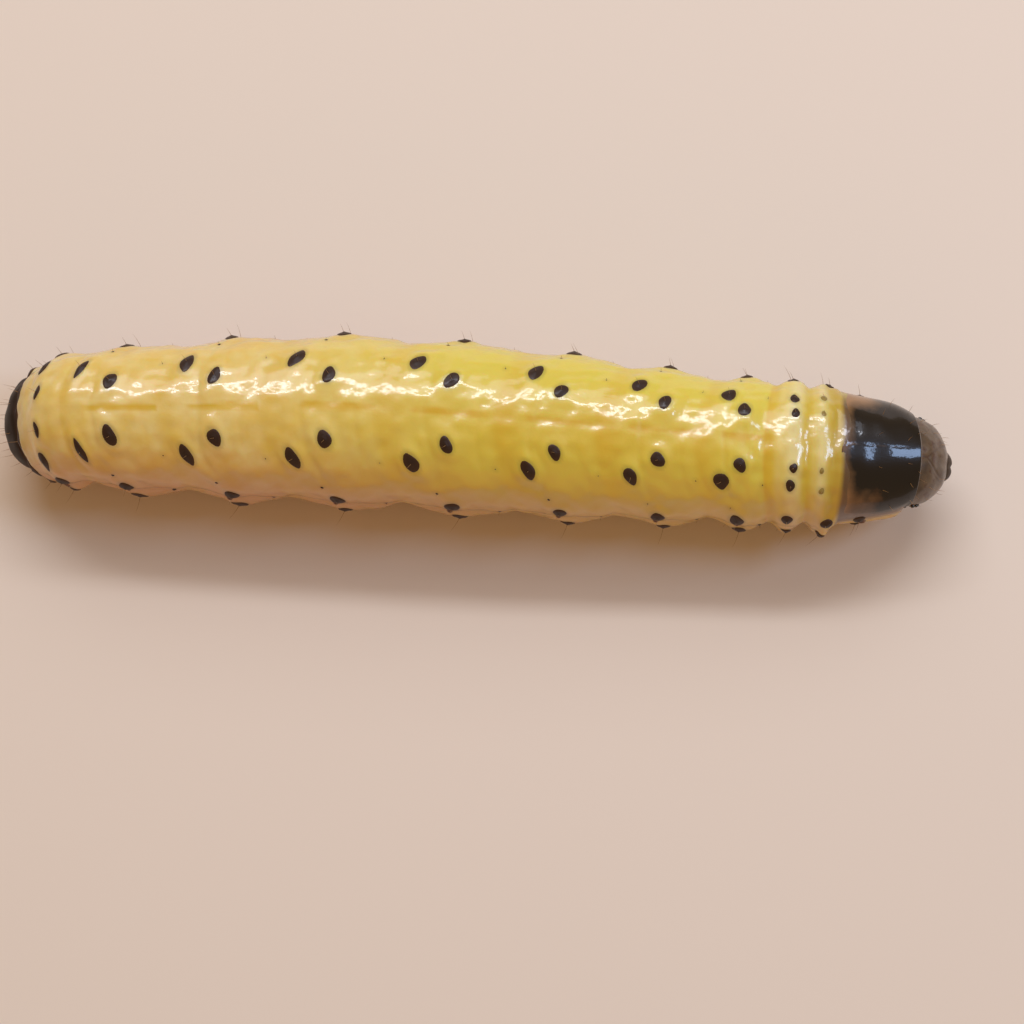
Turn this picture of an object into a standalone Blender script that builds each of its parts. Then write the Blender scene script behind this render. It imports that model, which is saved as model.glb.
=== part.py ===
"""Leopard moth larva at life size, lying on its prolegs: head, mouthparts, shields, body rings and legs.

Sizes are in millimetres and are scaled to metres where a mesh is made.
+X points to the head, +Y to the larva's left side, +Z up, with the floor at Z = 0.
"""

import math
import random
from collections import namedtuple

import bmesh
import bpy
from mathutils import Matrix, Vector

MM = 0.001

# Driving sizes
LENGTH = 52.0
GAP = 0.3
PLATE = 0.5
FLOOR_BLOCK = 20.0
SHARP_FROM = 40.0

# The body is counted in ring boundaries from the tail: ring 0 closes the last segment, ring 13 opens on the head.
# x runs from the tail tip and z from the floor, both to the ring's centre; pitch leans a ring's top to the tail.
Ring = namedtuple("Ring", "x z pitch half_width half_height slant")
RINGS = (
    Ring(1.88, 3.25, 27.6, 2.75, 2.43, 0.1),
    Ring(2.52, 3.95, 21.5, 3.25, 3.17, 0.3),
    Ring(4.05, 4.68, 11.3, 3.68, 3.80, 0.8),
    Ring(8.72, 4.85, 0.0, 4.15, 4.00, 1.4),
    Ring(14.22, 4.90, 0.0, 4.55, 4.15, 1.5),
    Ring(20.53, 4.95, 0.0, 4.66, 4.20, 1.5),
    Ring(26.90, 4.90, 0.0, 4.56, 4.15, 1.5),
    Ring(32.43, 4.80, 0.0, 4.32, 4.00, 1.4),
    Ring(37.75, 4.70, 0.0, 4.02, 3.85, 1.1),
    Ring(41.47, 4.70, 0.0, 4.05, 3.70, 0.5),
    Ring(43.67, 4.65, -2.0, 4.02, 3.50, 0.2),
    Ring(45.66, 4.55, -4.0, 3.75, 3.25, 0.0),
    Ring(48.50, 4.30, -6.0, 3.10, 2.78, 0.0),
    Ring(49.85, 4.30, -7.0, 2.60, 2.50, 0.0),
)
TAIL_DEPTH = 1.58
SEGMENTS = (
    "abdomen_10",
    "abdomen_9",
    "abdomen_8",
    "abdomen_7",
    "abdomen_6",
    "abdomen_5",
    "abdomen_4",
    "abdomen_3",
    "abdomen_2",
    "abdomen_1",
    "metathorax",
    "mesothorax",
    "prothorax",
)
FIRST_THORAX_RING = 9
NECK_RING = 11

# The gentle S of the resting body, seen from above
BEND_START = 14.0
BEND_END = 50.0
TAIL_SIDE = 0.72
HEAD_SIDE = -1.48
TWIST_TAIL = -1.5
TWIST_HEAD = 4.5

# Body wall
SIDES = 28
WALL_STEPS = (0.0, 0.06, 0.22, 0.5, 0.78, 0.94, 1.0)
FOLD_STEPS = (0.0, 0.06, 0.2, 0.33, 0.47, 0.75, 0.94, 1.0)
TAIL_STEPS = (0.0, 0.14, 0.3, 0.46, 0.62, 0.78, 0.9, 1.0)
BELLY_SQUARE = 0.85
BELLY_DEPTH = 0.92
GROOVE_BACK = 0.04
GROOVE_SIDE = 0.165
GROOVE_ANGLE = 112.0
GROOVE_SPREAD = 60.0
GROOVE_SHARPNESS = 0.5
BULGE_SKEW = 1.2
LOBE_ANGLE = 106.0
LOBE_SPREAD = 15.0
LOBE_SWELL = 0.035
FOLD_AT = 0.33
FOLD_SPREAD = 0.09
FOLD_DEPTH = 0.045
BEND_LOBE = (10.74, -94.0)
BEND_LOBE_SPREAD = (0.19, 24.0)
BEND_LOBE_SWELL = 0.1

# Pinacula, the dark plates raised under the bristles, alike on both sides: angle from the back's midline, place
# along the segment from its rear, how far that place moves forward from abdomen_7 to abdomen_1, length and width,
# and the length of the bristle that stands on it.
Dot = namedtuple("Dot", "angle place drift length width bristle")
ABDOMEN_DOTS = (
    Dot(22.3, 0.52, 0.07, 0.98, 1.12, 0.5),
    Dot(36.5, 0.18, 0.11, 1.0, 1.4, 0.55),
    Dot(78.0, 0.45, 0.0, 0.95, 1.15, 0.55),
    Dot(103.0, 0.52, 0.0, 1.0, 0.95, 1.0),
    Dot(131.0, 0.42, 0.0, 0.85, 0.8, 0.0),
)
OTHER_DOTS = {
    "abdomen_9": (
        Dot(36.0, 0.5, 0.0, 0.4, 1.4, 0.6),
        Dot(78.0, 0.5, 0.0, 0.45, 1.0, 0.6),
    ),
    "abdomen_8": (
        Dot(17.0, 0.5, 0.0, 0.75, 0.85, 0.55),
        Dot(50.0, 0.42, 0.0, 0.75, 1.3, 0.55),
        Dot(80.0, 0.5, 0.0, 0.8, 1.0, 0.6),
        Dot(105.0, 0.5, 0.0, 0.8, 0.9, 0.9),
    ),
    "metathorax": (
        Dot(22.0, 0.63, 0.0, 0.66, 0.66, 0.4),
        Dot(36.0, 0.58, 0.0, 0.66, 0.66, 0.4),
        Dot(71.0, 0.5, 0.0, 0.75, 0.85, 0.55),
        Dot(98.0, 0.55, 0.0, 0.75, 0.8, 1.0),
    ),
    "mesothorax": (
        Dot(23.5, 0.46, 0.0, 0.55, 0.6, 0.0),
        Dot(40.5, 0.46, 0.0, 0.6, 0.6, 0.0),
        Dot(76.0, 0.7, 0.0, 0.7, 0.85, 0.55),
        Dot(99.0, 0.6, 0.0, 0.75, 0.8, 1.0),
    ),
    "prothorax": (
        Dot(86.0, 0.42, 0.0, 0.9, 0.9, 0.7),
        Dot(112.0, 0.42, 0.0, 0.8, 0.75, 0.8),
    ),
}
DOT_THICKNESS = 0.32
DOT_CELLS = (8, 3)
BRISTLE_ROOT = 0.32
BRISTLE_CELLS = (8, 5)
DOT_SHOULDER = (0.9, 0.45)
DOT_SIZE_VARIES = 0.07
DOT_PLACE_VARIES = 0.012
FIRST_DRIFT_RING = 3
DRIFT_RINGS = 6

# Prothoracic and anal shields: span along the rings, half angle round the back, height over the skin
SHIELD_SPAN = (11.0, 12.98)
SHIELD_ANGLE = 68.0
ANAL_SPAN = (-0.86, -0.06)
ANAL_ANGLE = 62.0
SHIELD_LIFT = 0.12
SHIELD_CELLS = (7, 11)
SHIELD_ROUNDNESS = 0.6
BED_MARGIN = (0.12, 7.0)
BED_HEADROOM = 0.6

# Head: it leans down in front, and its mouthparts stand round the front end of its axis.
# A place on the head is a share of its axis, from -1 at the neck to 1 in front, and an angle from the top.
HEAD_CENTRE = (49.35, 4.25)
HEAD_TILT = 22.0
HEAD_FRONT = 2.45
HEAD_BACK = 1.6
HEAD_HALF_WIDTH = 2.42
HEAD_HALF_HEIGHT = 1.85
HEAD_BLUNTNESS = 2.6
HEAD_GROOVE = 0.05
HEAD_GROOVE_SPREAD = 9.0
LABRUM_SIZE = (0.9, 1.5, 0.5)
LABRUM_AT = (2.12, 0.0, 0.5)
MANDIBLE_SIZE = (0.9, 0.64, 0.8)
MANDIBLE_AT = (2.25, 0.47, -0.4)
LABIUM_SIZE = (0.9, 1.25, 0.55)
LABIUM_AT = (1.9, 0.0, -1.33)
MOUTH_TAPER = 0.8
MOUTH_BEVEL = 0.14
ANTENNA_FROM = (0.84, 118.0)
ANTENNA_WAY = (0.85, -0.05, -0.5)
ANTENNA_RADII = (0.26, 0.25, 0.23, 0.21, 0.15)
ANTENNA_STEPS = (-0.25, 0.15, 0.17, 0.36, 0.5)
EYE_FROM = (0.3, 98.0)
EYE_SIZE = (1.1, 1.1, 0.44)
LENS_SIZE = 0.26
LENS_RING = 0.35
LENS_TURNS = (-100, -60, -20, 20, 60, 150)

# Legs: a proleg's outline is given as radius and height over the floor
PROLEG_RINGS = (4, 5, 6, 7)
PROLEG_ANGLE = 146.0
PROLEG_PROFILE = (
    (0.0, 2.6),
    (1.15, 2.6),
    (1.15, 1.5),
    (0.82, 0.95),
    (0.92, 0.5),
    (0.88, 0.22),
    (0.66, 0.0),
    (0.0, 0.0),
)
ANAL_LEG_X = 2.35
ANAL_LEG_Y = 1.35
ANAL_LEG_PROFILE = (
    (0.0, 2.6),
    (1.05, 2.6),
    (1.05, 1.5),
    (0.8, 0.95),
    (0.84, 0.45),
    (0.8, 0.2),
    (0.6, 0.0),
    (0.0, 0.0),
)
LEG_SIDES = 16
TRUE_LEG_RINGS = {"prothorax": 12, "mesothorax": 11, "metathorax": 10}
TRUE_LEG_ANGLE = 150.0
TRUE_LEG_COURSE = (
    (0.0, -0.35, 0.55),
    (0.0, 0.1, 0.0),
    (0.12, 0.42, -0.32),
    (0.3, 0.52, -0.58),
    (0.55, 0.38, -0.82),
    (0.72, 0.2, -1.08),
)
TRUE_LEG_RADII = (0.66, 0.62, 0.46, 0.38, 0.29, 0.2)

FINISHES = {
    "skin": ((0.80, 0.62, 0.22), 0.42),
    "shield": ((0.035, 0.020, 0.014), 0.22),
    "head": ((0.13, 0.075, 0.045), 0.3),
    "mouth": ((0.02, 0.012, 0.009), 0.35),
    "leg": ((0.55, 0.36, 0.15), 0.45),
    "eye": ((0.02, 0.015, 0.012), 0.12),
}

for old in list(bpy.data.objects):
    bpy.data.objects.remove(old)

larva = bpy.data.collections.new("leopard_moth_larva")
bpy.context.scene.collection.children.link(larva)
cutters = bpy.data.collections.new("cutters")
bpy.context.scene.collection.children.link(cutters)


def paint(obj, finish):
    """Gives a node the finish of its kind of part, in a material of its own."""
    colour, roughness = FINISHES[finish]
    made = bpy.data.materials.new(obj.name)
    made.use_nodes = True
    shader = made.node_tree.nodes["Principled BSDF"]
    shader.inputs["Base Color"].default_value = (*colour, 1.0)
    shader.inputs["Roughness"].default_value = roughness
    obj.data.materials.clear()
    obj.data.materials.append(made)


def object_from(bm, name, collection=larva):
    """Turns a bmesh in millimetres into an object in metres."""
    bm.normal_update()
    bmesh.ops.recalc_face_normals(bm, faces=bm.faces)
    bmesh.ops.scale(bm, vec=(MM, MM, MM), verts=bm.verts)
    mesh = bpy.data.meshes.new(name)
    bm.to_mesh(mesh)
    bm.free()
    made = bpy.data.objects.new(name, mesh)
    collection.objects.link(made)
    if collection is cutters:
        made.hide_render = True
        made.display_type = "WIRE"
    return made


def evaluated_mesh(obj):
    """The object's mesh with its modifiers worked out."""
    bpy.context.view_layer.update()
    graph = bpy.context.evaluated_depsgraph_get()
    return bpy.data.meshes.new_from_object(obj.evaluated_get(graph))


def keep_largest(obj):
    """Keeps the largest closed surface of a node, which drops what a cut left loose."""
    bm = bmesh.new()
    bm.from_mesh(obj.data)
    unseen = set(bm.verts)
    groups = []
    while unseen:
        front = [unseen.pop()]
        group = list(front)
        while front:
            reached = {edge.other_vert(vert) for vert in front for edge in vert.link_edges}
            front = list(reached & unseen)
            unseen -= reached
            group += front
        groups.append(group)
    groups.sort(key=len)
    for group in groups[:-1]:
        bmesh.ops.delete(bm, geom=group, context="VERTS")
    bm.to_mesh(obj.data)
    bm.free()


def cut(obj, cutter):
    """Takes the cutter's space out of the object."""
    modifier = obj.modifiers.new("cut", "BOOLEAN")
    modifier.operation = "DIFFERENCE"
    modifier.object = cutter
    obj.data = evaluated_mesh(obj)
    obj.modifiers.clear()
    keep_largest(obj)


def fuse(obj, pieces):
    """Joins closed pieces to a node in one union, then removes them."""
    gathered = bpy.data.collections.new(obj.name + "_pieces")
    bpy.context.scene.collection.children.link(gathered)
    for piece in pieces:
        cutters.objects.unlink(piece)
        gathered.objects.link(piece)
    modifier = obj.modifiers.new("fuse", "BOOLEAN")
    modifier.operation = "UNION"
    modifier.operand_type = "COLLECTION"
    modifier.collection = gathered
    obj.data = evaluated_mesh(obj)
    obj.modifiers.clear()
    for piece in pieces:
        bpy.data.objects.remove(piece)
    bpy.data.collections.remove(gathered)
    keep_largest(obj)


def smoothstep(low, high, value):
    share = min(1.0, max(0.0, (value - low) / (high - low)))
    return share * share * (3.0 - 2.0 * share)


def eased(values, s):
    """A smooth curve through values that stand at 0, 1, 2 and so on, read at s."""
    i = min(max(int(math.floor(s)), 0), len(values) - 2)
    t = s - i
    before = values[i - 1] if i else 2 * values[0] - values[1]
    after = values[i + 2] if i + 2 < len(values) else 2 * values[-1] - values[-2]
    a, b = values[i], values[i + 1]
    bend = (2 * before - 5 * a + 4 * b - after) * t * t
    turn = (3 * a - before - 3 * b + after) * t * t * t
    return 0.5 * (2 * a + (b - before) * t + bend + turn)


def side_offset(x):
    """How far the body's middle lies to the left, at x from the tail tip."""
    return TAIL_SIDE + (HEAD_SIDE - TAIL_SIDE) * smoothstep(BEND_START, BEND_END, x)


def axes_at(x, pitch):
    """Forward, left and up of a slice of the body."""
    yaw = math.atan(side_offset(x + 0.5) - side_offset(x - 0.5))
    turn = Matrix.Rotation(yaw, 3, "Z") @ Matrix.Rotation(-math.radians(pitch), 3, "Y")
    return turn @ Vector((1, 0, 0)), turn @ Vector((0, 1, 0)), turn @ Vector((0, 0, 1))


def slice_at(s):
    """Centre, axes, half sizes and slant of the body at s; below 0, those of the ring that the tail closes."""
    ring = Ring(*(eased(column, max(s, 0.0)) for column in zip(*RINGS)))
    forward, left, up = axes_at(ring.x, ring.pitch)
    centre = Vector((ring.x - LENGTH / 2, side_offset(ring.x), ring.z))
    return centre, forward, left, up, ring.half_width, ring.half_height, ring.slant


def twist(s):
    """Roll of the back's midline, in degrees, from the tail to the head."""
    return TWIST_TAIL + (TWIST_HEAD - TWIST_TAIL) * smoothstep(0.0, len(SEGMENTS), s)


def hump(value, middle, spread):
    """A bell curve that is 1 at its middle."""
    return math.exp(-(((value - middle) / spread) ** 2))


def wall_factor(s, angle):
    """Swell of the wall between the folds, with a row of lobes along each side and the one that the bend makes."""
    turn = (angle + 180.0) % 360.0 - 180.0
    t = (s - NECK_RING) / 2 if s > NECK_RING else s - math.floor(s)
    swell = max(0.0, math.sin(math.pi * t**BULGE_SKEW)) ** GROOVE_SHARPNESS
    if s <= 0:
        swell = smoothstep(0.0, 0.5, -s)
    depth = GROOVE_BACK + (GROOVE_SIDE - GROOVE_BACK) * hump(abs(turn), GROOVE_ANGLE, GROOVE_SPREAD)
    lobe = LOBE_SWELL * hump(abs(turn), LOBE_ANGLE, LOBE_SPREAD) * swell
    near_bend = hump(s, BEND_LOBE[0], BEND_LOBE_SPREAD[0])
    lobe += BEND_LOBE_SWELL * near_bend * hump(turn, BEND_LOBE[1], BEND_LOBE_SPREAD[1])
    fold = FOLD_DEPTH * hump(t, FOLD_AT, FOLD_SPREAD) if FIRST_THORAX_RING < s < NECK_RING else 0.0
    return 1.0 - depth * (1.0 - swell) + lobe - fold


def skin_point(s, angle, share=1.0, grow=0.0):
    """A point of the body wall: s along the rings, angle in degrees from the back to the left."""
    centre, forward, left, up, half_width, half_height, slant = slice_at(s)
    close = math.radians(max(0.0, -s) * 90.0)
    share *= math.cos(close)
    across, rise = math.sin(math.radians(angle)), math.cos(math.radians(angle))
    ahead = slant * across * across * share - (TAIL_DEPTH + grow) * math.sin(close)
    if rise < 0:
        across = math.copysign(abs(across) ** BELLY_SQUARE, across)
        rise = -(abs(rise) ** BELLY_SQUARE) * BELLY_DEPTH
    factor = wall_factor(s, angle)
    wide = (half_width * factor + grow) * share
    high = (half_height * factor + grow) * share
    return centre + forward * ahead + left * across * wide + up * rise * high


def tube(name, start, end, steps, grow=0.0, collection=larva):
    """A closed length of the body wall, from a cylinder cut into rings. steps run from 0 to 1 along it."""
    bm = bmesh.new()
    bmesh.ops.create_cone(bm, cap_ends=True, cap_tris=True, segments=SIDES, radius1=1, radius2=1, depth=1)
    lengthwise = [edge for edge in bm.edges if abs(edge.verts[0].co.z - edge.verts[1].co.z) > 0.5]
    bmesh.ops.subdivide_edges(bm, edges=lengthwise, cuts=len(steps) - 2)
    for vert in bm.verts:
        row = round((vert.co.z + 0.5) * (len(steps) - 1))
        angle = math.degrees(math.atan2(vert.co.y, vert.co.x))
        share = min(1.0, math.hypot(vert.co.x, vert.co.y))
        vert.co = skin_point(start + (end - start) * steps[row], angle, share, grow)
    bmesh.ops.remove_doubles(bm, verts=bm.verts, dist=0.002)
    return object_from(bm, name, collection)


def surface_frame(point_at, s, angle):
    """Point, lengthwise tangent and outward normal of a surface."""
    along = (point_at(s + 0.01, angle) - point_at(s - 0.01, angle)).normalized()
    around = (point_at(s, angle + 0.5) - point_at(s, angle - 0.5)).normalized()
    return point_at(s, angle), along, along.cross(around).normalized()


def dome(name, frame, size, collection=cutters, cells=(8, 4)):
    """A flattened ball half sunk in the surface that it grows from; size is length, width and thickness."""
    point, along, normal = frame
    bm = bmesh.new()
    bmesh.ops.create_uvsphere(bm, u_segments=cells[0], v_segments=cells[1], radius=0.5)
    bmesh.ops.scale(bm, vec=size, verts=bm.verts)
    turn = Matrix((along, normal.cross(along), normal)).transposed().to_4x4()
    bmesh.ops.transform(bm, matrix=Matrix.Translation(point) @ turn, verts=bm.verts)
    return object_from(bm, name, collection)


def plate(name, point_at, span, half_angle, lift, thickness, collection=larva):
    """A curved plate lying on a surface: a grid bent over it and given its thickness inwards."""
    bm = bmesh.new()
    bmesh.ops.create_grid(bm, x_segments=SHIELD_CELLS[0], y_segments=SHIELD_CELLS[1], size=1)
    middle, reach = (span[0] + span[1]) / 2, (span[1] - span[0]) / 2
    for vert in bm.verts:
        u = vert.co.x * math.sqrt(1.0 - SHIELD_ROUNDNESS * vert.co.y**2 / 2)
        v = vert.co.y * math.sqrt(1.0 - SHIELD_ROUNDNESS * vert.co.x**2 / 2)
        vert.co = point_at(middle + u * reach, v * half_angle, lift)
    bmesh.ops.triangulate(bm, faces=bm.faces)
    bmesh.ops.solidify(bm, geom=bm.faces, thickness=thickness)
    return object_from(bm, name, collection)


def turned(name, profile, place):
    """A round stub spun about an upright axis that stands at place."""
    bm = bmesh.new()
    verts = [bm.verts.new((radius, 0.0, height)) for radius, height in profile]
    edges = [bm.edges.new(pair) for pair in zip(verts, verts[1:])]
    bmesh.ops.spin(
        bm, geom=verts + edges, cent=(0, 0, 0), axis=(0, 0, 1), angle=math.tau, steps=LEG_SIDES, use_merge=True
    )
    bmesh.ops.remove_doubles(bm, verts=bm.verts, dist=0.002)
    bmesh.ops.translate(bm, vec=place, verts=bm.verts)
    return object_from(bm, name)


def tapered(name, points, radii, collection=larva):
    """A jointed limb: a bevelled curve with a radius at each point, made a mesh."""
    curve = bpy.data.curves.new(name, "CURVE")
    curve.dimensions = "3D"
    curve.bevel_depth = MM
    curve.bevel_resolution = 2
    curve.use_fill_caps = True
    spline = curve.splines.new("POLY")
    spline.points.add(len(points) - 1)
    for knot, point, radius in zip(spline.points, points, radii):
        knot.co = (*(Vector(point) * MM), 1.0)
        knot.radius = radius
    drawn = bpy.data.objects.new(name + "_curve", curve)
    cutters.objects.link(drawn)
    bm = bmesh.new()
    bm.from_mesh(evaluated_mesh(drawn))
    bpy.data.objects.remove(drawn)
    bmesh.ops.scale(bm, vec=(1 / MM, 1 / MM, 1 / MM), verts=bm.verts)
    bmesh.ops.remove_doubles(bm, verts=bm.verts, dist=0.002)
    return object_from(bm, name, collection)


# Body rings: each is a closed length of wall that leaves half the gap free at both ends
def half_gap(s):
    """Half of the gap at a ring boundary, counted in rings."""
    return 0.5 * GAP * 0.02 / (slice_at(s + 0.01)[0] - slice_at(s - 0.01)[0]).length


rings = {SEGMENTS[0]: tube(SEGMENTS[0], -1.0, -0.5 * GAP / TAIL_DEPTH, TAIL_STEPS)}
for index, segment in enumerate(SEGMENTS[1:], start=1):
    steps = FOLD_STEPS if FIRST_THORAX_RING < index <= NECK_RING else WALL_STEPS
    start = index - 1 + half_gap(index - 1) if index > 1 else 0.5 * GAP / TAIL_DEPTH
    rings[segment] = tube(segment, start, index - half_gap(index), steps)

body_steps = [(index + t) / len(SEGMENTS) for index in range(len(SEGMENTS)) for t in FOLD_STEPS[:-1]] + [1.0]
grown_body = tube("grown_body", -1.0, len(SEGMENTS) - 1.0, body_steps, GAP, cutters)


# Shields: each lies in a bed cut into the ring below it
def back_point(s, angle, lift=0.0):
    """A point of the body wall, lifted by lift, with the angle counted from the rolled midline of the back."""
    return skin_point(s, angle + twist(s), 1.0, lift)


for name, span, half_angle, owner in (
    ("prothoracic_shield", SHIELD_SPAN, SHIELD_ANGLE, "prothorax"),
    ("anal_shield", ANAL_SPAN, ANAL_ANGLE, "abdomen_10"),
):
    shield = plate(name, back_point, span, half_angle, SHIELD_LIFT, PLATE)
    paint(shield, "shield")
    wider = (span[0] - BED_MARGIN[0], span[1] + BED_MARGIN[0])
    headroom = SHIELD_LIFT + BED_HEADROOM
    deep = BED_HEADROOM + PLATE + GAP
    bed = plate(name + "_bed", back_point, wider, half_angle + BED_MARGIN[1], headroom, deep, cutters)
    cut(rings[owner], bed)


# Head capsule: a ball drawn out forwards, with a groove between its two lobes
def head_axes():
    centre = Vector((HEAD_CENTRE[0] - LENGTH / 2, side_offset(HEAD_CENTRE[0]), HEAD_CENTRE[1]))
    return centre, *axes_at(HEAD_CENTRE[0], -HEAD_TILT)


def head_point(share, angle, grow=0.0):
    centre, forward, left, up = head_axes()
    blunt = HEAD_BLUNTNESS if share > 0 else 2.0
    reach = (HEAD_FRONT if share > 0 else HEAD_BACK) + grow
    swell = max(0.0, 1.0 - abs(share) ** blunt) ** (1.0 / blunt)
    dent = 1.0 - HEAD_GROOVE * math.exp(-((angle / HEAD_GROOVE_SPREAD) ** 2))
    wide = (HEAD_HALF_WIDTH * dent + grow) * swell * math.sin(math.radians(angle))
    high = (HEAD_HALF_HEIGHT * dent + grow) * swell * math.cos(math.radians(angle))
    return centre + forward * reach * share + left * wide + up * high


def head_shell(name, grow, collection):
    bm = bmesh.new()
    bmesh.ops.create_uvsphere(bm, u_segments=24, v_segments=12, radius=1)
    for vert in bm.verts:
        angle = math.degrees(math.atan2(vert.co.y, vert.co.x))
        vert.co = head_point(max(-1.0, min(1.0, vert.co.z)), angle, grow)
    return object_from(bm, name, collection)


head = head_shell("head_capsule", 0.0, larva)
grown_head = head_shell("grown_head", GAP, cutters)
cut(rings["prothorax"], grown_head)


# Mouthparts: bevelled blocks, narrower in front, each rooted in a socket of the head
def mouth_block(name, size, at, collection=larva):
    centre, forward, left, up = head_axes()
    bm = bmesh.new()
    bmesh.ops.create_cube(bm, size=1)
    for vert in bm.verts:
        if vert.co.x > 0:
            vert.co.yz *= MOUTH_TAPER
    bmesh.ops.scale(bm, vec=size, verts=bm.verts)
    bmesh.ops.bevel(
        bm, geom=bm.edges, offset=MOUTH_BEVEL, segments=2, profile=0.5, affect="EDGES", material=-1
    )
    turn = Matrix((forward, left, up)).transposed().to_4x4()
    place = centre + forward * at[0] + left * at[1] + up * at[2]
    bmesh.ops.transform(bm, matrix=Matrix.Translation(place) @ turn, verts=bm.verts)
    return object_from(bm, name, collection)


for name, size, at, finish in (
    ("labrum", LABRUM_SIZE, LABRUM_AT, "head"),
    ("labium", LABIUM_SIZE, LABIUM_AT, "head"),
    ("mandible_left", MANDIBLE_SIZE, MANDIBLE_AT, "mouth"),
    ("mandible_right", MANDIBLE_SIZE, (MANDIBLE_AT[0], -MANDIBLE_AT[1], MANDIBLE_AT[2]), "mouth"),
):
    paint(mouth_block(name, size, at), finish)
    cut(head, mouth_block(name + "_socket", [length + 2 * GAP for length in size], at, cutters))


# Antennae, and on each cheek a low button with the six lenses of the eye
def lens(frame, turn):
    point, along, normal = frame
    across = normal.cross(along)
    out = along * math.cos(math.radians(turn)) + across * math.sin(math.radians(turn))
    height = EYE_SIZE[2] / 2 * math.sqrt(1.0 - (2 * LENS_RING / EYE_SIZE[0]) ** 2)
    place = point + out * LENS_RING + normal * height
    return dome(f"lens_{turn}", (place, along, normal), (LENS_SIZE, LENS_SIZE, LENS_SIZE), cells=(6, 4))


for side, word in ((1, "left"), (-1, "right")):
    root = head_point(ANTENNA_FROM[0], side * ANTENNA_FROM[1])
    forward, left, up = head_axes()[1:]
    ahead = (forward * ANTENNA_WAY[0] + left * side * ANTENNA_WAY[1] + up * ANTENNA_WAY[2]).normalized()
    course = [root + ahead * step for step in ANTENNA_STEPS]
    socket = [root + ahead * (step - GAP) for step in ANTENNA_STEPS]
    paint(tapered("antenna_" + word, course, ANTENNA_RADII), "head")
    cut(head, tapered("antenna_socket_" + word, socket, [radius + GAP for radius in ANTENNA_RADII], cutters))

    cheek = surface_frame(head_point, EYE_FROM[0], side * EYE_FROM[1])
    eye = dome("stemmata_" + word, cheek, EYE_SIZE, larva, (10, 5))
    cut(head, dome("recess_" + word, cheek, [size + 2 * GAP for size in EYE_SIZE], cutters, (10, 5)))
    fuse(eye, [lens(cheek, side * turn) for turn in LENS_TURNS])
    paint(eye, "eye")
paint(head, "head")


# Legs
def floor_block():
    bm = bmesh.new()
    bmesh.ops.create_cube(bm, size=1)
    bmesh.ops.scale(bm, vec=(LENGTH * 2, FLOOR_BLOCK * 2, FLOOR_BLOCK), verts=bm.verts)
    bmesh.ops.translate(bm, vec=(0, 0, -FLOOR_BLOCK / 2), verts=bm.verts)
    return object_from(bm, "floor_block", cutters)


def add_proleg(name, profile, x, y):
    leg = turned(name, profile, (x, y, 0.0))
    cut(leg, grown_body)
    paint(leg, "skin")


def add_true_leg(name, s, side):
    """Coxa, femur, tibia and tarsus in one curved limb, ending in a claw that stands on the floor."""
    hip = skin_point(s, side * TRUE_LEG_ANGLE)
    _, forward, left, _ = slice_at(s)[:4]
    points = []
    for ahead, outward, rise in TRUE_LEG_COURSE:
        lift = Vector((0, 0, rise if rise > 0 else rise * hip.z))
        points.append(hip + forward * ahead + left * side * outward + lift)
    leg = tapered(name, points, TRUE_LEG_RADII)
    cut(leg, grown_body)
    cut(leg, under_floor)
    paint(leg, "leg")


under_floor = floor_block()
for side, word in ((1, "left"), (-1, "right")):
    for ring in PROLEG_RINGS:
        foot = skin_point(ring - 0.45, side * PROLEG_ANGLE)
        add_proleg(f"proleg_{10 - ring}_{word}", PROLEG_PROFILE, foot.x, foot.y)
    tail_y = side_offset(ANAL_LEG_X) + side * ANAL_LEG_Y
    add_proleg(f"anal_proleg_{word}", ANAL_LEG_PROFILE, ANAL_LEG_X - LENGTH / 2, tail_y)
    for segment, ring in TRUE_LEG_RINGS.items():
        add_true_leg(f"{segment}_leg_{word}", ring - 0.5, side)

# Pinacula: each is a low dome on its ring, half sunk and fused to it, a little unlike the next in size and place.
# The top of a dome with a bristle is drawn out to a thin cone.
def bristled_dome(name, frame, size, bristle):
    point, along, normal = frame
    bm = bmesh.new()
    bmesh.ops.create_uvsphere(bm, u_segments=BRISTLE_CELLS[0], v_segments=BRISTLE_CELLS[1], radius=1)
    for vert in bm.verts:
        x, y, z = vert.co
        out = math.hypot(x, y)
        if z > 0.99:
            vert.co = (0, 0, size[2] / 2 + bristle)
        elif z > 0.7:
            vert.co = (x / out * BRISTLE_ROOT / 2, y / out * BRISTLE_ROOT / 2, size[2] / 2)
        elif z > -0.7:
            wide, high = DOT_SHOULDER
            level = math.copysign(high, z)
            vert.co = (x / out * wide * size[0] / 2, y / out * wide * size[1] / 2, level * size[2] / 2)
        else:
            vert.co = (x * size[0] / 2, y * size[1] / 2, z * size[2] / 2)
    turn = Matrix((along, normal.cross(along), normal)).transposed().to_4x4()
    bmesh.ops.transform(bm, matrix=Matrix.Translation(point) @ turn, verts=bm.verts)
    return object_from(bm, name, cutters)


def add_dots(index, segment):
    chance = random.Random(index)
    drifted = (index - FIRST_DRIFT_RING) / DRIFT_RINGS
    pieces = []
    for side in (1, -1):
        for dot in OTHER_DOTS.get(segment, ABDOMEN_DOTS):
            size = 1.0 + chance.uniform(-DOT_SIZE_VARIES, DOT_SIZE_VARIES)
            place = dot.place + dot.drift * drifted + chance.uniform(-DOT_PLACE_VARIES, DOT_PLACE_VARIES)
            frame = surface_frame(back_point, index - 1 + place, side * dot.angle)
            shape = (dot.length * size, dot.width * size, DOT_THICKNESS)
            name = f"dot_{side * dot.angle}"
            if dot.bristle:
                pieces.append(bristled_dome(name, frame, shape, dot.bristle))
            else:
                pieces.append(dome(name, frame, shape, cells=DOT_CELLS))
    fuse(rings[segment], pieces)


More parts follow.
